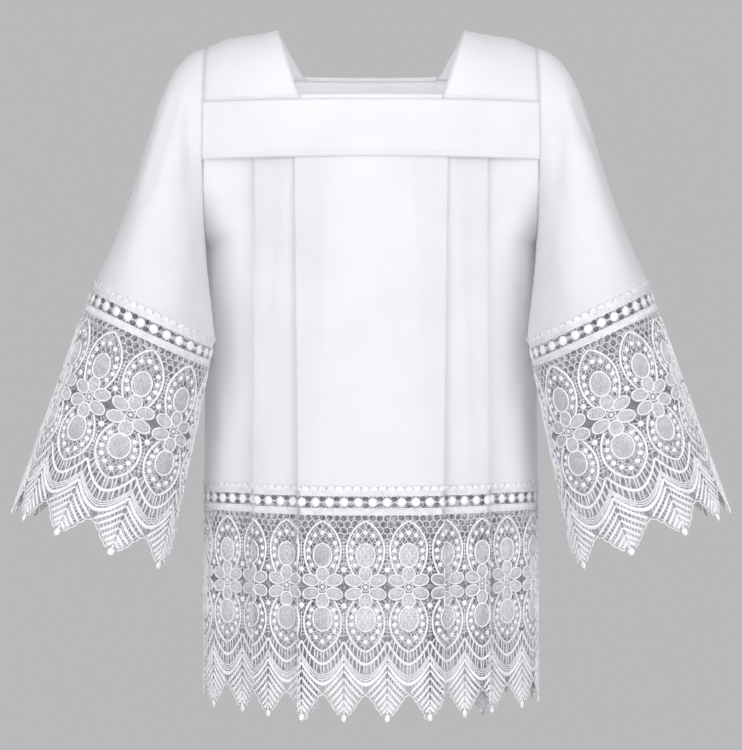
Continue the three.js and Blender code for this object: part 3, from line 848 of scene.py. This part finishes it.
def at_place(line, place):
    """The point of a line at a place between two of its points."""
    i = int(place)
    return lerp(line[i], line[i + 1], place % 1)


def add_fans(ground, raised):
    """Ribs that spread from each axis to the pointed edge, and the edge's small scallops."""
    band = festoon(*FESTOONS[-1][:2])
    for side in (-1, 1):
        ribs = []
        for start, spread, end in FAN_RIBS:
            bend = (HALF - spread * FAN_RIB["bend"], (start + end) / 2)
            rib = curve([(HALF - FAN_RIB["gap"], start), bend, (HALF - spread, end)], 9)
            rib[:, 0] = HALF + side * (rib[:, 0] - HALF)
            ribs.append(rib)
            raised.stroke(rib, FAN_RIB["cord"] * FAN_TAPER, FAN_RIB["height"])
        for upper, lower in zip(ribs, ribs[1:]):
            for place in RIB_TIES:
                raised.tie(at_place(upper, place), at_place(lower, place), *FAN_TIE)
        for place in TOP_TIES:
            foot = at_place(ribs[0], place)
            u = foot[0] + math.copysign(TOP_TIE_SLANT, HALF - foot[0])
            raised.tie((u, at_u(band, HALF - abs(HALF - u))), foot, *FAN_TIE)
    knob = FAN_KNOB
    stem = [(HALF, knob["rib"]), (HALF, (knob["rib"] + knob["top"]) / 2), (HALF, knob["top"])]
    raised.stroke(stem, knob["stem"], knob["height"])
    raised.pad((HALF, knob["v"]), knob["radii"], knob["height"], sides=10)
    f = np.linspace(0, math.pi, 6)
    for (a, _), (b, _) in zip(EDGE_LINE[:-1], EDGE_LINE[1:-1]):
        us = (a + b) / 2 - (b - a) / 2 * np.cos(f)
        slope = float(edge_at(b) - edge_at(a)) / (b - a)
        out = EDGE_SCALLOP["deep"] * np.sin(f) / math.hypot(1, slope)
        for side in (-1, 1):
            line = np.stack([(us - out * slope) * side, edge_at(us) + out], axis=1)
            raised.stroke(line, EDGE_SCALLOP["cord"], EDGE_SCALLOP["height"], Relief.THREAD)


def lace_repeat():
    """One repeat of the guipure in the flat: its fine ground, and the cords and dots on it."""
    ground, raised = Relief(), Relief()
    add_net(ground)
    for add in (add_heading, add_ovals, add_flower, add_stars, add_festoons, add_fans):
        add(ground, raised)
    return ground.arrays(), raised.arrays()


# The cloth runs on under the heading of the lace, which lies that much higher there.
SEWN_UNDER = 5.0
HEADING_LIFT = 0.75
HEADING_ENDS = (8.0, 17.0)


def laid_lace(name, part, surface, ends):
    """Part of each repeat side by side between two values of u, laid on a surface.

    The faces that its threads turn to the inside get the second material, the reverse, which is drawn in
    a painted shade.
    """
    flat, faces = part
    start, end = HEADING_ENDS
    height = flat[:, 2] + HEADING_LIFT * ease((end - flat[:, 1]) / (end - start))
    sizes = sorted({len(face) for face in faces})
    alike = [np.array([face for face in faces if len(face) == size]) for size in sizes]
    first, last = math.floor(ends[0] / REPEAT - 0.5), math.ceil(ends[1] / REPEAT + 0.5)
    vertices, under, kept, count = [], [], [], 0
    for k in range(first, last + 1):
        u = flat[:, 0] + k * REPEAT
        keep = (u >= ends[0]) & (u <= ends[1])
        if not keep.any():
            continue
        number = np.cumsum(keep) - 1 + count
        count += keep.sum()
        vertices.append(settle(surface, u[keep], flat[keep, 1], height[keep]))
        under.append(flat[keep, 2] < 0)
        for corners in alike:
            kept += number[corners[keep[corners].all(axis=1)]].tolist()
    lace = new_object(name, np.concatenate(vertices), kept)
    corners = np.zeros(len(lace.data.loops), int)
    starts = np.zeros(len(lace.data.polygons), int)
    lace.data.loops.foreach_get("vertex_index", corners)
    lace.data.polygons.foreach_get("loop_start", starts)
    reverse = np.logical_and.reduceat(np.concatenate(under)[corners], starts)
    lace.data.polygons.foreach_set("material_index", reverse.astype(int))
    return lace


YOKE_TOP = NECK_FRONT["z"] - NECK_BAND
BACK_TOP = NECK_BACK["z"] - NECK_BAND
FRONT_REPEAT = 2 * FRONT_HALF / HEM_REPEATS["front"]
BACK_HALF = HEM_REPEATS["back"] * HALF


def torso_surface(side):
    """One side of the body: u is w, turned so that the outside stays out, and v is -z."""
    return lambda u, v: torso(side, -side * u, -v)


def by_length(side):
    """The same surface with u in millimetres along the section."""
    return lambda u, v: torso(side, ARC[side].w_at(-side * u, -v), -v)


def skirt_surface(label, v):
    return skirt_front(label, -v)


def hem_v(v):
    return SEAM_GAP - HEM_SEAM + v * HEM_SCALE


def hem_front_surface(u, v):
    return skirt_surface(u * FRONT_REPEAT / REPEAT - HEM_SHIFT, hem_v(v))


def hem_back_surface(u, v):
    return by_length(1)(u / BACK_HALF * ARC[1].total_at(-hem_v(v)), hem_v(v))


def rgb(code):
    """An sRGB hex colour as linear values."""
    values = [int(code[i:i + 2], 16) / 255 for i in (1, 3, 5)]
    return tuple(c / 12.92 if c <= 0.04045 else ((c + 0.055) / 1.055) ** 2.4 for c in values)


def add_node(tree, kind, values=(), links=(), **settings):
    """A node with its settings, its constant inputs and the links into it."""
    node = tree.nodes.new(kind)
    for key, value in settings.items():
        setattr(node, key, value)
    for socket, value in dict(values).items():
        node.inputs[socket].default_value = value
    for socket, source in dict(links).items():
        tree.links.new(source, node.inputs[socket])
    return node


def colour_ramp(tree, source, low, high):
    """A colour between low and high, as a noise says."""
    ramp = add_node(tree, "ShaderNodeValToRGB", links={"Fac": source})
    for element, place, colour in zip(ramp.color_ramp.elements, RAMP_ENDS, (low, high)):
        element.position = place
        element.color = (*colour, 1.0)
    return ramp.outputs["Color"]


def new_tree(owner):
    """The emptied node tree of a material or a world."""
    owner.use_nodes = True
    owner.node_tree.nodes.clear()
    return owner.node_tree


def fabric(name, light, shade, roughness, sheen, yarn, translucent, bump, patch):
    """Cloth of fine yarn: yarn is its pitch in metres, patch the size of its colour changes."""
    material = bpy.data.materials.new(name)
    material.diffuse_color = (*light, 1.0)
    tree = new_tree(material)
    at = add_node(tree, "ShaderNodeTexCoord").outputs["Object"]
    cloud = add_node(tree, "ShaderNodeTexNoise", {"Scale": 1 / patch, "Detail": 4.0},
                     {"Vector": at}).outputs["Fac"]
    colour = colour_ramp(tree, cloud, shade, light)
    wave = {"Scale": 1 / (yarn * WAVE_SCALE), "Distortion": 1.2, "Detail Scale": 3.0}
    waves = [add_node(tree, "ShaderNodeTexWave", wave, {"Vector": at}, bands_direction=way)
             for way in ("X", "Z")]
    weave = add_node(tree, "ShaderNodeMath", links={i: node.outputs["Fac"]
                                                    for i, node in enumerate(waves)},
                     operation="ADD")
    relief = add_node(tree, "ShaderNodeBump", {"Strength": bump, "Distance": yarn * YARN_RELIEF},
                      {"Height": weave.outputs[0]})
    dull = add_node(tree, "ShaderNodeMapRange",
                    {"To Min": roughness - DULL_RANGE, "To Max": roughness + DULL_RANGE},
                    {"Value": cloud})
    skin = add_node(tree, "ShaderNodeBsdfPrincipled",
                    {"Sheen Weight": sheen, "Sheen Roughness": 0.5, "Specular IOR Level": 0.25},
                    {"Base Color": colour, "Roughness": dull.outputs[0],
                     "Normal": relief.outputs[0]})
    through = add_node(tree, "ShaderNodeBsdfTranslucent", links={"Color": colour})
    mix = add_node(tree, "ShaderNodeMixShader", {0: translucent},
                   {1: skin.outputs[0], 2: through.outputs[0]})
    add_node(tree, "ShaderNodeOutputMaterial", links={"Surface": mix.outputs[0]})
    return material


# Where a noise reaches the two tones of a colour, the scale that a wave texture gives its bands,
# how deep the weave is for its pitch, and how far the roughness goes up and down.
RAMP_ENDS = (0.3, 0.7)
WAVE_SCALE = 20
YARN_RELIEF = 0.4
DULL_RANGE = 0.06

# The looks: material, whose colours it has and how far they are dimmed as painted shade, roughness,
# sheen, pitch of the yarn in metres, share of light let through, relief, size of the colour changes in
# metres.
LOOKS = {
    # Plain-woven polyester of about 130 g per square metre, which lets much light through
    "cloth": ("woven_polyester", "cloth", 1.0, 0.82, 0.12, 0.00035, 0.42, 0.12, 0.05),
    # Guipure ground of fine rayon thread, drawn greyer than the cords: a painted shade for how its
    # threads shade each other
    "ground": ("rayon_ground", "lace", 0.97, 0.6, 0.1, 0.0006, 0.06, 0.25, 0.008),
    # Satin-stitched rayon, which shines a little along its stitches
    "cords": ("rayon_satin_stitch", "lace", 1.0, 0.5, 0.25, 0.0006, 0.04, 0.3, 0.008),
    # The matt reverse of guipure, drawn greyer than it is: a painted shade for how it lies in shade
    # inside, seen through the gaps
    "reverse": ("rayon_reverse", "lace", 0.6, 0.85, 0.0, 0.0006, 0.04, 0.2, 0.008),
    # Spun polyester sewing thread, a little smoother than the cloth
    "thread": ("polyester_thread", "cloth", 1.0, 0.6, 0.2, 0.0004, 0.05, 0.2, 0.01),
}
MATERIALS = {}


def material_of(look):
    """The material of a kind of piece, made the first time that it is asked for."""
    if look not in MATERIALS:
        name, whose, dim, *values = LOOKS[look]
        settings = bpy.context.scene.surplice
        light, shade = ([dim * c for c in getattr(settings, f"{whose}_{tone}")]
                        for tone in ("colour", "shade"))
        MATERIALS[look] = fabric(name, light, shade, *values)
    return MATERIALS[look]


def finish_piece(obj, look, replaces=None):
    lace = look in ("ground", "cords")
    obj.data.materials.append(material_of(look))
    if lace:
        obj.data.materials.append(material_of("reverse"))
    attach(obj, "root")
    if replaces:
        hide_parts(replaces)
    return obj


def cloth_piece(name, surface, us, vs, node, closed=False):
    thickness = bpy.context.scene.surplice.cloth_thickness / METRES
    return finish_piece(cloth_object(name, surface, us, vs, thickness, closed), "cloth", node)


def laid(name, relief, surface, lift=0.0):
    """Threads laid on a surface, raised by lift."""
    flat, faces = relief.arrays()
    return new_object(name, settle(surface, flat[:, 0], flat[:, 1], flat[:, 2] + lift), faces)


def sewn(name, surface, lines):
    """Rows of stitches along straight lines of a surface: (u0, v0, u1, v1) in millimetres."""
    settings = bpy.context.scene.surplice
    stitch, width = settings.stitch_length / METRES, settings.thread_width / METRES
    pitch = stitch + settings.stitch_gap / METRES
    rows = Relief()
    for u0, v0, u1, v1 in lines:
        length = math.hypot(u1 - u0, v1 - v0)
        for k in range(int(length / pitch)):
            shares = ((k * pitch + part * stitch) / length for part in (0, 0.5, 1))
            line = [(lerp(u0, u1, f), lerp(v0, v1, f)) for f in shares]
            rows.stroke(line, width, STITCH_HEIGHT, rows.THREAD)
    return laid(name, rows, surface, settings.cloth_thickness / METRES / 2)


def steps(start, end, pitch):
    return np.linspace(start, end, max(2, int(round(abs(end - start) / pitch)) + 1))


def pleat_columns(pitch):
    """Labels across the pleated front, close together where the cloth turns."""
    half = [0.0]
    for i, (start, end) in enumerate(zip(LABELS, LABELS[1:])):
        turning = i % 2 == 1 and i < len(LABELS) - 2
        half += list((np.linspace(start, end, TURN_COLUMNS) if turning else steps(start, end, pitch))[1:])
    half = np.array(half)
    return np.concatenate([-half[:0:-1], half])


# The grids: steps of w or millimetres across, millimetres down, or how many of each
YOKE_GRID = (0.02, 4)
STRAP_GRID = (19, 60)
BACK_GRID = (0.016, 6)
FRONT_ROW = 6
TURN_COLUMNS = 9
SLEEVE_GRID = (120, 60)
CUT_GRID = (400, 40)
NECK_BAND_THICKNESS = 1.6
NECK_BAND_COLUMN = 4
# Where the rows of a neck band lie, as shares of its width
NECK_BAND_ROWS = np.array([0, 0.2, 0.5, 0.8, 1])


def add_neck_band(side, neck, name):
    """A turned band along the neck, whose slanted ends meet the shoulder pieces."""
    flat = by_length(side)
    top, low = -neck["z"], -neck["z"] + NECK_BAND
    half = float(ARC[side].length_at_x(neck["half"], neck["z"]))
    slope = (NECK_CREST_X - neck["half"]) / (CREST[0, 1] + low) / half

    def surface(u, v):
        return flat(u * (1 + slope * (low - v)), v)

    us, vs = steps(-half, half, NECK_BAND_COLUMN), top + NECK_BAND * NECK_BAND_ROWS
    band = cloth_object(f"neck_band_{name}_cloth", surface, us, vs, NECK_BAND_THICKNESS)
    return finish_piece(band, "cloth", "neck_band_" + name)


def add_lace(name, repeat, surface, ends, held):
    ground, raised = (
        finish_piece(laid_lace(f"{name}_{kind}", part, surface, ends), kind, name)
        for kind, part in zip(("ground", "cords"), repeat)
    )
    columns, rows = CUT_GRID
    width, length, _ = cut_of(surface, np.linspace(*ends, columns),
                              np.linspace(0, LACE_DEPTH, rows))


def cut_of(surface, us, vs):
    """Width, length and area in metres of the cloth that a surface takes, laid flat."""
    u, v = np.meshgrid(us, vs)
    p = surface(u, v) * METRES
    wide = np.linalg.norm(np.diff(p, axis=1), axis=2)
    long = np.linalg.norm(np.diff(p, axis=0), axis=2)
    cells = (wide[1:] + wide[:-1]) / 2 * (long[:, 1:] + long[:, :-1]) / 2
    return wide.sum(axis=1).max(), long.sum(axis=0).max(), cells.sum()


# The sewing in millimetres: how high a stitch stands, and distances from a piece's edges.
STITCH_HEIGHT = 0.4
YOKE_STITCH = 6.4
EDGE_STITCH = 2.0
ARMHOLE_STITCH = 5.5
END_CLEARANCE = 3.0
STRAP_WIDE = 91.0
STRAP_LONG = 100.0


def strap_in_mm(u, v):
    """The right shoulder piece with u and v in millimetres."""
    return strap(u / STRAP_WIDE, v / STRAP_LONG)


def sewing_lines():
    """Name, surface and lines (u0, v0, u1, v1) of the stitches on each piece."""
    low, top = -YOKE_BOTTOM - YOKE_STITCH, -YOKE_TOP + EDGE_STITCH
    half = float(ARC[-1].total_at(-low)) - END_CLEARANCE
    top_half = float(ARC[-1].total_at(-top)) - END_CLEARANCE
    yield "yoke_sewing", by_length(-1), [(-half, low, half, low), (-top_half, top, top_half, top)]
    top = -BACK_TOP + EDGE_STITCH
    half = float(ARC[1].total_at(-top)) - END_CLEARANCE
    yield "back_sewing", by_length(1), [(-half, top, half, top)]
    edge, neck, arm = STRAP_LONG - END_CLEARANCE, EDGE_STITCH, STRAP_WIDE - ARMHOLE_STITCH
    strap_lines = [(neck, -edge, arm, -edge), (neck, edge, arm, edge),
                   (neck, -edge, neck, edge), (arm, -edge, arm, edge)]
    yield "shoulder_right_sewing", strap_in_mm, strap_lines
    left = [(-u0, v0, -u1, v1) for u0, v0, u1, v1 in strap_lines]
    yield "shoulder_left_sewing", mirrored(strap_in_mm), left


ARMHOLE_LONG = 640.0
ARMHOLE_SEAM = {"at": 0.2, "width": 1.6, "height": 0.9}


def sleeve_in_mm(u, v):
    """The right sleeve with u, along the armhole, and v in millimetres."""
    return sleeve(u / ARMHOLE_LONG * 2 * math.pi, v / SLEEVE_LONG)


def armhole_seam(name, surface):
    """The rolled seam where a sleeve is set in."""
    size, roll = ARMHOLE_SEAM, Relief()
    us = np.linspace(0, ARMHOLE_LONG, SLEEVE_GRID[0], endpoint=False)
    line = np.stack([us, np.full_like(us, size["at"])], axis=1)
    aside = np.tile([0.0, size["width"]], (len(line), 1))
    roll.skin(line, aside, size["height"], roll.CORD, closed=True)
    return laid(name, roll, surface)


# The camera stands level in front of the middle of the garment, in metres. The picture is
# 742 by 750 pixels, and its longer side is the one that the lens is set to.
CAMERA = {"back": 2.4, "height": -0.431}
FOCAL_PIXELS = 1882
PICTURE_HEIGHT = 750
SENSOR = 36.0
# The floor in metres: how far below the lowest z, how wide, and where in y it starts and ends
FLOOR = {"below": 0.55, "wide": 7.0, "front": -4.0, "behind": 2.4}
PAPER = {"grain": 220.0, "darker": 0.985, "roughness": 0.95, "specular": 0.1}
AMBIENT = 0.1
MIDDLE = (0, 0, CAMERA["height"])
# Name, place, the point that it faces, size, and the setting that holds its power
LIGHTS = (
    ("key", (0.2, -3.4, 1.4), MIDDLE, (5.2, 3.4), "key_power"),
    ("right", (1.9, -2.3, -0.5), MIDDLE, (1.6, 2.4), "fill_power"),
    ("left", (-1.9, -2.3, -0.5), MIDDLE, (1.6, 2.4), "fill_power"),
    ("top", (0, -0.9, 1.5), (0, 0, -0.1), (1.6, 1.0), "top_power"),
    ("back", (0.3, 2.8, 0.5), MIDDLE, (2.4, 2.4), "back_power"),
)


def add_camera():
    data = bpy.data.cameras.new("camera")
    data.sensor_width = SENSOR
    data.lens = FOCAL_PIXELS / PICTURE_HEIGHT * SENSOR
    camera = linked("camera", data)
    camera.location = (0, -CAMERA["back"], CAMERA["height"])
    camera.rotation_euler = (math.radians(90), 0, 0)
    bpy.context.scene.camera = camera


def add_light(name, place, at, size, power):
    data = bpy.data.lights.new(name, "AREA")
    data.shape = "RECTANGLE"
    data.size, data.size_y = size
    data.energy = power
    lamp = linked(name, data)
    lamp.location = place
    lamp.visible_camera = False
    lamp.rotation_euler = (Vector(at) - Vector(place)).to_track_quat("-Z", "Y").to_euler()


def add_floor(colour):
    """A pale plain floor, below the picture from the front."""
    z, half = LOWEST * METRES - FLOOR["below"], FLOOR["wide"] / 2
    corners = [(x, y, z) for x, y in ((-half, FLOOR["front"]), (half, FLOOR["front"]),
                                      (half, FLOOR["behind"]), (-half, FLOOR["behind"]))]
    floor = new_object("studio_floor", np.array(corners) / METRES, [(0, 1, 2, 3)])
    # Matt seamless paper, whose fine grain keeps the floor from looking like glass
    paper = bpy.data.materials.new("studio_paper")
    tree = new_tree(paper)
    place = add_node(tree, "ShaderNodeTexCoord")
    grain = add_node(tree, "ShaderNodeTexNoise", {"Scale": PAPER["grain"], "Detail": 3.0},
                     {"Vector": place.outputs["Object"]})
    tone = colour_ramp(tree, grain.outputs["Fac"], [PAPER["darker"] * c for c in colour], colour)
    skin = add_node(tree, "ShaderNodeBsdfPrincipled",
                    {"Roughness": PAPER["roughness"], "Specular IOR Level": PAPER["specular"]},
                    {"Base Color": tone})
    add_node(tree, "ShaderNodeOutputMaterial", links={"Surface": skin.outputs[0]})
    floor.data.materials.append(paper)


def add_world(backdrop):
    """Weak light from all round, and the plain grey seen behind the garment."""
    world = bpy.data.worlds.new("studio")
    bpy.context.scene.world = world
    tree = new_tree(world)
    light, seen = (add_node(tree, "ShaderNodeBackground", {"Color": (*colour, 1.0), "Strength": f})
                   for colour, f in (((1, 1, 1), AMBIENT), (backdrop, 1.0)))
    path = add_node(tree, "ShaderNodeLightPath")
    mix = add_node(tree, "ShaderNodeMixShader",
                   links={0: path.outputs["Is Camera Ray"], 1: light.outputs[0],
                          2: seen.outputs[0]})
    add_node(tree, "ShaderNodeOutputWorld", links={"Surface": mix.outputs[0]})


def colour_property(name, description, code):
    return FloatVectorProperty(name=name, description=description, subtype="COLOR", size=3,
                               min=0, max=1, default=rgb(code))


def length_property(name, description, default, low, high):
    return FloatProperty(name=name, description=description, default=default, min=low, max=high,
                         unit="LENGTH")


def power_property(name, description, default):
    return FloatProperty(name=name, description=description, default=default, min=0, max=500,
                         unit="POWER")


class SURPLICE_PG_settings(bpy.types.PropertyGroup):
    """Colours, thicknesses and light of the surplice."""

    cloth_colour: colour_property("Cloth", "Colour of the woven cloth", "#fafafc")
    cloth_shade: colour_property("Cloth shade", "Darker tone of its slight unevenness", "#f6f6f9")
    lace_colour: colour_property("Lace", "Colour of the lace thread", "#f9f9fc")
    lace_shade: colour_property("Lace shade", "Tone of the thread between the stitches", "#e9e9f0")
    backdrop_colour: colour_property("Backdrop", "Grey seen behind the garment", "#bababb")
    floor_colour: colour_property("Floor", "Colour of the paper on the floor", "#dededf")
    cloth_thickness: length_property("Cloth thickness", "Thickness of the cloth with its finish",
                                     0.0006, 0.0002, 0.002)
    stitch_length: length_property("Stitch", "Length of one stitch", 0.0026, 0.001, 0.006)
    stitch_gap: length_property("Stitch gap", "Distance between two stitches", 0.0008, 0.0003,
                                0.003)
    thread_width: length_property("Thread", "Width of the sewing thread", 0.0005, 0.0002, 0.001)
    key_power: power_property("Key light", "Power of the large front light", 71.0)
    fill_power: power_property("Fill light", "Power of the side lights", 40.0)
    top_power: power_property("Top light", "Power of the light above the shoulders", 10.0)
    back_power: power_property("Back light", "Power of the light behind the garment", 85.0)
    column_pitch: IntProperty(
        name="Column pitch", description="Millimetres between the columns of the pleated front",
        default=5, min=2, max=20)


class SURPLICE_OT_yoke(bpy.types.Operator):
    """Make the yoke, the neck bands and the shoulder pieces"""

    bl_idname = "surplice.yoke"
    bl_label = "Yoke and shoulders"

    def execute(self, context):
        step_w, step_v = YOKE_GRID
        us, vs = steps(-1, 1, step_w), steps(-YOKE_TOP, -YOKE_BOTTOM, step_v)
        surface = torso_surface(-1)
        yoke = cloth_piece("yoke_cloth", surface, us, vs, "front_yoke")
        band = add_neck_band(-1, NECK_FRONT, "front")
        cut_of(surface, us, vs)
        columns, rows = STRAP_GRID
        us, vs = np.linspace(0, 1, columns), np.linspace(-1, 1, rows)
        for (name, surface), columns in zip(right_and_left("shoulder", strap), (us, -us[::-1])):
            piece = cloth_piece(name + "_cloth", surface, columns, vs, name)
            cut_of(surface, columns, vs)
        return {"FINISHED"}


class SURPLICE_OT_front(bpy.types.Operator):
    """Make the pleated front under the yoke"""

    bl_idname = "surplice.front"
    bl_label = "Pleated front"

    def execute(self, context):
        us = pleat_columns(context.scene.surplice.column_pitch)
        vs = steps(-YOKE_BOTTOM - YOKE_OVERLAP, -HEM_SEAM + SEWN_UNDER, FRONT_ROW)
        front = cloth_piece("front_cloth", skirt_surface, us, vs, "front_skirt")
        cut_of(skirt_surface, us, vs)
        return {"FINISHED"}


class SURPLICE_OT_back(bpy.types.Operator):
    """Make the plain back"""

    bl_idname = "surplice.back"
    bl_label = "Back"

    def execute(self, context):
        step_w, step_v = BACK_GRID
        us, vs = steps(-1, 1, step_w), steps(-BACK_TOP, -HEM_SEAM + SEWN_UNDER, step_v)
        back = cloth_piece("back_cloth", torso_surface(1), us, vs, "back_panel")
        band = add_neck_band(1, NECK_BACK, "back")
        cut_of(torso_surface(1), us, vs)
        return {"FINISHED"}


class SURPLICE_OT_sleeves(bpy.types.Operator):
    """Make the two sleeves"""

    bl_idname = "surplice.sleeves"
    bl_label = "Sleeves"

    def execute(self, context):
        columns, rows = SLEEVE_GRID
        angles = np.linspace(0, 2 * math.pi, columns, endpoint=False)
        ts = np.linspace(0, 1 + SEWN_UNDER / SLEEVE_LONG, rows)
        whole = np.append(angles, 2 * math.pi)
        for name, surface in right_and_left("sleeve", sleeve):
            piece = cloth_piece(name + "_cloth", surface, angles, ts, name, closed=True)
            cut_of(surface, whole, ts)
        return {"FINISHED"}


class SURPLICE_OT_hem_lace(bpy.types.Operator):
    """Make the deep lace of the hem"""

    bl_idname = "surplice.hem_lace"
    bl_label = "Hem lace"

    def execute(self, context):
        repeat = lace_repeat()
        front_half, shift = FRONT_HALF - SEAM_GAP, HEM_SHIFT
        front_ends = [(side * front_half + shift) * REPEAT / FRONT_REPEAT for side in (-1, 1)]
        back_ends = [side * (BACK_HALF - SEAM_GAP) for side in (-1, 1)]
        for name, surface, ends, held in (
                ("hem_lace_front", hem_front_surface, front_ends, "folded"),
                ("hem_lace_back", hem_back_surface, back_ends, "hung")):
            add_lace(name, repeat, surface, ends, held)
        return {"FINISHED"}


class SURPLICE_OT_sleeve_lace(bpy.types.Operator):
    """Make the deep lace of both sleeves"""

    bl_idname = "surplice.sleeve_lace"
    bl_label = "Sleeve lace"

    def execute(self, context):
        repeat = lace_repeat()
        near, far = SEAM_GAP, SLEEVE_REPEATS * HALF - SEAM_GAP
        halves = (-far, -near), (near, far)
        for (name, surface), (front, back) in zip(right_and_left("sleeve_lace", sleeve_lace),
                                                  (halves, halves[::-1])):
            add_lace(name + "_front", repeat, surface, front, "hung")
            add_lace(name + "_back", repeat, surface, back, "hung")
        return {"FINISHED"}


class SURPLICE_OT_sewing(bpy.types.Operator):
    """Sew the rows of stitches on the yoke, the back and the shoulders"""

    bl_idname = "surplice.sewing"
    bl_label = "Sewing"

    def execute(self, context):
        for name, surface, lines in sewing_lines():
            finish_piece(sewn(name, surface, lines), "thread")
        for name, surface in right_and_left("armhole", sleeve_in_mm):
            finish_piece(armhole_seam(name + "_seam", surface), "cloth")
        return {"FINISHED"}


class SURPLICE_OT_stage(bpy.types.Operator):
    """Make the floor, the grey behind the garment, the lights and the camera"""

    bl_idname = "surplice.stage"
    bl_label = "Stage"

    def execute(self, context):
        settings = context.scene.surplice
        add_floor(tuple(settings.floor_colour))
        add_camera()
        add_world(tuple(settings.backdrop_colour))
        for *where, power in LIGHTS:
            add_light(*where, getattr(settings, power))
        context.scene.view_settings.view_transform = "Standard"
        return {"FINISHED"}


class SURPLICE_PT_panel(bpy.types.Panel):
    """Sizes, colours and pieces of the surplice"""

    bl_label = "Surplice"
    bl_space_type = "VIEW_3D"
    bl_region_type = "UI"
    bl_category = "Surplice"

    def draw(self, context):
        settings = context.scene.surplice
        for name in SURPLICE_PG_settings.__annotations__:
            self.layout.prop(settings, name)
        for operator in OPERATORS:
            self.layout.operator(operator.bl_idname)


OPERATORS = (SURPLICE_OT_yoke, SURPLICE_OT_front, SURPLICE_OT_back, SURPLICE_OT_sleeves,
             SURPLICE_OT_hem_lace, SURPLICE_OT_sleeve_lace, SURPLICE_OT_sewing,
             SURPLICE_OT_stage)
CLASSES = (SURPLICE_PG_settings, *OPERATORS, SURPLICE_PT_panel)


def register():
    for cls in CLASSES:
        bpy.utils.register_class(cls)
    bpy.types.Scene.surplice = PointerProperty(type=SURPLICE_PG_settings)


def unregister():
    del bpy.types.Scene.surplice
    for cls in reversed(CLASSES):
        bpy.utils.unregister_class(cls)


def main():
    register()
    calls = (bpy.ops.surplice.front, bpy.ops.surplice.yoke, bpy.ops.surplice.back,
             bpy.ops.surplice.sleeves, bpy.ops.surplice.hem_lace, bpy.ops.surplice.sleeve_lace,
             bpy.ops.surplice.sewing, bpy.ops.surplice.stage)
    for call in calls:
        if call() != {"FINISHED"}:
            raise RuntimeError(f"{call.idname()} did not finish")


if __name__ == "__main__":
    main()
